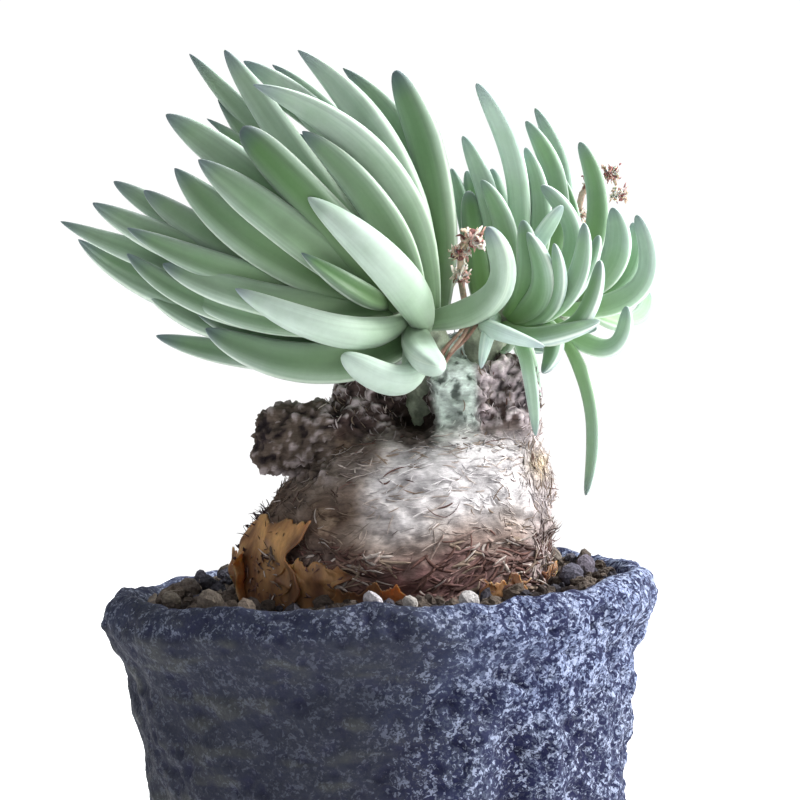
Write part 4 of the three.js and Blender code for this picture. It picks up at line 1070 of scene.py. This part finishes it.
def withered_flower(name, stalk_points, buds, seed):
    """A thin stalk with shrivelled buds, and round each bud curled strips as petals: each is a lens-shaped
    ribbon that leaves the bud, droops as s² and crumples as a sine."""
    line = through(stalk_points)
    shares = np.linspace(0, 1, FLOWER_RINGS)
    centre = at(line, shares)
    cream, pink, wine, straw = (linear(c) for c in ("#e6dcd2", "#c9a298", "#7d4f4b", "#bda894"))
    parts = [(centre, 0.55 + 0 * shares, 0.55 + 0 * shares, straw)]
    for i, (share, radius) in enumerate(buds):
        spot = at(line, share)[0]
        up = np.linspace(-1, 1, FLOWER_RINGS)
        belly = np.sqrt(np.clip(1 - up ** 2, 0, 1)) * radius
        heart = spot + np.outer(up * radius * 0.8, [0.3 * np.sin(i + seed), 0.4, 1])
        parts.append((heart, 0.6 * belly, 0.5 * belly, wine))
        for k in range(PETALS_A_BUD):
            turn = 4 * np.pi * k / PETALS_A_BUD + i + rng.uniform(-0.3, 0.3)
            out = unit(np.array([np.cos(turn), 0.7 * np.sin(turn), 0.6 * np.sin(2.1 * k + i)]))
            long = radius * rng.uniform(0.7, 1.4)
            s = shares[:, None]
            droop = radius * np.array([0, 0, 1.0]) * rng.uniform(-0.8, 0.7)
            crumple = 0.35 * np.sin(9 * s + k) * np.array([0.4, 0.3, 1])
            path = spot + out * long * s + droop * s ** 2 + crumple * s
            width = radius * rng.uniform(0.3, 0.75) * np.sin(np.pi * (0.12 + 0.86 * s[:, 0])) ** 0.7
            colour = (cream, pink, straw, wine)[rng.choice(4, p=[0.42, 0.25, 0.22, 0.11])]
            parts.append((path, width, 0.14 + 0 * width, colour))
    paths = np.array([path for path, _, _, _ in parts])
    tangents = unit(np.gradient(paths, axis=1))
    fronts = unit(np.cross(tangents, np.array([0.3, 1, 0.25])))
    sides = np.cross(tangents, fronts)
    angle = 2 * np.pi * np.arange(RIBBON_AROUND) / RIBBON_AROUND
    across = np.array([w for _, w, _, _ in parts])[..., None] * np.cos(angle)
    deep = np.array([t for _, _, t, _ in parts])[..., None] * np.sin(angle)
    colours = np.array([c for _, _, _, c in parts])[:, None, None]
    dye = colours * rng.uniform(0.75, 1.2, (len(parts), FLOWER_RINGS, 1, 1))
    dye = np.broadcast_to(np.clip(dye, 0, 1), (len(parts), FLOWER_RINGS, RIBBON_AROUND, 3))
    return tubes(name, paths, sides, fronts, across, deep, RIBBON_AROUND, {"dye": dye})


def fallen_stalk():
    """An old flower stalk lying against the green stem: narrow ribbons side by side along one arc, each
    shifted across it and bowed a little by a sine of its number."""
    line = through([[18.2, -7, 122.4], [15.6, -10.6, 119], [12.9, -11.6, 116.2], [11.6, -11, 113.2]])
    over = np.array([0.75, 0.1, -0.65])
    number = np.arange(OLD_STALK_RIBBONS)[:, None]
    share = np.linspace(0, 1, OLD_STALK_RINGS)
    bow = 0.35 * np.sin(3 * share + 1.7 * number) + 0.42 * (number - 2.5) * (1 - 0.3 * share)
    centre = at(line, share)[None] + bow[..., None] * unit(over)
    centre[..., 1] += 0.25 * np.sin(7 * share + 2.3 * number)
    tangents = unit(np.gradient(centre, axis=1))
    fronts = unit(np.cross(tangents, over))
    sides = np.cross(tangents, fronts)
    angle = 2 * np.pi * np.arange(RIBBON_AROUND) / RIBBON_AROUND
    taper = 0.27 * np.sin(np.pi * (0.08 + 0.84 * share)) ** 0.4
    wide = (taper * (1 + 0.2 * np.sin(5 * number)))[..., None]
    tone = (0.5 + 0.5 * np.sin(2.4 * number))[..., None, None]
    dye = linear("#6a4335") * (1 - tone) + linear("#b59a88") * tone
    dye = np.broadcast_to(dye, (OLD_STALK_RIBBONS, OLD_STALK_RINGS, RIBBON_AROUND, 3))
    return tubes("fallen_stalk", centre, sides, fronts, wide * np.cos(angle), 0.6 * wide * np.sin(angle),
                 RIBBON_AROUND, {"dye": dye})


# Putting it together

unglazed_stoneware = stoneware_skin()
# Crushed lava and baked clay: dull, with a fine grain
crushed_gravel = dyed("crushed_gravel", {"Roughness": 0.92, "Specular IOR Level": 0.2}, 0.5, 0.55, 0.4, 1.0)
# Dry bark in layers: dull, drawn out into fibres
weathered_bark = dyed("weathered_bark", {
    "Roughness": 0.9, "Specular IOR Level": 0.2,
}, 0.45, 0.35, 0.25, 0.7, (0.45, 0.45, 1.2))
# Thin peeled bark: lets some light through
peeled_bark = dyed("peeled_bark", {
    "Roughness": 0.55, "Subsurface Weight": 0.4, "Subsurface Scale": 0.002,
    "Subsurface Radius": (1.0, 0.5, 0.2),
}, 0.8, 0.3, 0.15, 0.5, (1, 1, 0.35))
# Petals dried on the plant: crumpled and papery
dried_petals = dyed("dried_petals", {
    "Roughness": 0.8, "Subsurface Weight": 0.2, "Subsurface Scale": 0.001,
}, 0.5, 0.25, 0.1)
# Corky green stem skin
stem_skin = dyed("stem_skin", {"Roughness": 0.8, "Specular IOR Level": 0.25}, 0.5, 0.3, 0.2)
# Each skin's fourth colour is the pale edge line, partly thicker bloom and partly painted rim light
left_leaf_skin = waxy_leaf_skin(
    "waxy_leaf_skin_left", "#adbfb2", "#6a846a", "#43702c", "#c9d8c6", "#6d8a5c", "#4c5370")
right_leaf_skin = waxy_leaf_skin(
    "waxy_leaf_skin_right", "#b3c6c0", "#7c9d79", "#4f8038", "#dfeade", "#7ba556", "#6c7a84")

skin = caudex_bark()
finished(stoneware_pot(), unglazed_stoneware, "pot")
finished(gravel_bed(), crushed_gravel, "soil")
finished(gravel_stones(), crushed_gravel)
finished(pale_pebbles(), crushed_gravel)
fibres = bark_fibres(skin)
finished(skin, weathered_bark, "caudex")
finished(fibres, weathered_bark)
finished(papery_bark(), peeled_bark)
left_rows = [*with_twins(LEFT_LEAVES), CROSSING_LEAF]
right_rows = with_twins(RIGHT_LEAVES)
finished(crown("left_leaves", left_rows, LEFT_BLOOM_AND_LIGHT, {}, LEFT_STEM, 0.15, 0.6),
         left_leaf_skin, "leaf_crown_left")
finished(crown("right_leaves", right_rows, RIGHT_BLOOM_AND_LIGHT, SHRUNK, RIGHT_STEM, 0.85, 0.45),
         right_leaf_skin, "leaf_crown_right")
finished(crown_stem("left_stem", LEFT_STEM), stem_skin)
finished(crown_stem("right_stem", RIGHT_STEM), stem_skin)
finished(withered_flower("left_withered_flower", LEFT_STALK, LEFT_BUDS, 1),
         dried_petals, "dried_flower_left")
finished(fallen_stalk(), dried_petals, "dried_flower_left")
finished(withered_flower("right_withered_flower", RIGHT_STALK, RIGHT_BUDS, 2),
         dried_petals, "dried_flower_right")


# Floor, light and camera

# In metres
PLANT_MIDDLE = (0, 0, 0.1)


def plain_floor():
    bpy.ops.mesh.primitive_circle_add(vertices=96, radius=0.9, fill_type="NGON", location=(0, 0, -0.0003))
    floor = bpy.context.object
    floor.name = "plain_floor"
    material, _, _, _ = new_material("pale_floor", {
        "Base Color": rgba("#f6f6f6"), "Roughness": 0.9,
        "Emission Color": (1, 1, 1, 1), "Emission Strength": 0.4,
    })
    floor.data.materials.append(material)


def soft_light(name, place, size, watts, hex_colour):
    """A square light at a place in metres, turned to the middle of the plant."""
    light = bpy.data.lights.new(name, "AREA")
    light.size = size
    light.energy = watts
    light.color = linear(hex_colour)
    lamp = bpy.data.objects.new(name, light)
    bpy.context.scene.collection.objects.link(lamp)
    lamp.location = place
    lamp.rotation_euler = (Vector(PLANT_MIDDLE) - Vector(place)).to_track_quat("-Z", "Y").to_euler()


plain_floor()
soft_light("key_light", (0.95, 0.05, 0.75), 0.5, 26, "#ffffff")
soft_light("top_light", (0.25, 0.5, 1.0), 0.8, 12, "#f4f8ff")
soft_light("fill_light", (-0.8, -0.5, 0.35), 0.8, 1.2, "#eef0ff")

world = bpy.data.worlds.new("white_studio")
bpy.context.scene.world = world
world.use_nodes = True
sky = world.node_tree
seen = node(sky, "LightPath").outputs["Is Camera Ray"]
direction = node(sky, "TexCoord").outputs["Generated"]
towards_key = node(sky, "VectorMath", {0: direction, 1: (0.45, -0.6, 0.65)}, operation="DOT_PRODUCT")
ambient = node(sky, "MapRange", {
    "Value": towards_key.outputs["Value"], "From Min": -0.5, "From Max": 0.9, "To Min": 0.1, "To Max": 0.62,
})
strength = node(sky, "MapRange", {"Value": seen, "To Min": ambient.outputs[0], "To Max": 1.05})
background = sky.nodes["Background"]
background.inputs["Color"].default_value = (1, 1, 1, 1)
sky.links.new(strength.outputs[0], background.inputs["Strength"])

camera = bpy.data.cameras.new("camera")
camera.lens = CAMERA_LENS
camera.sensor_width = 36
camera.clip_start = 0.01
viewer = bpy.data.objects.new("camera", camera)
bpy.context.scene.collection.objects.link(viewer)
viewer.matrix_world = (
    Matrix.Translation([c * MM for c in CAMERA_PLACE])
    @ Matrix.Rotation(math.radians(90 - CAMERA_DOWN_DEG), 4, "X")
    @ Matrix.Rotation(math.radians(CAMERA_ROLL_DEG), 4, "Z")
)
bpy.context.scene.camera = viewer
bpy.context.scene.view_settings.view_transform = "Standard"
bpy.context.scene.view_settings.look = "None"
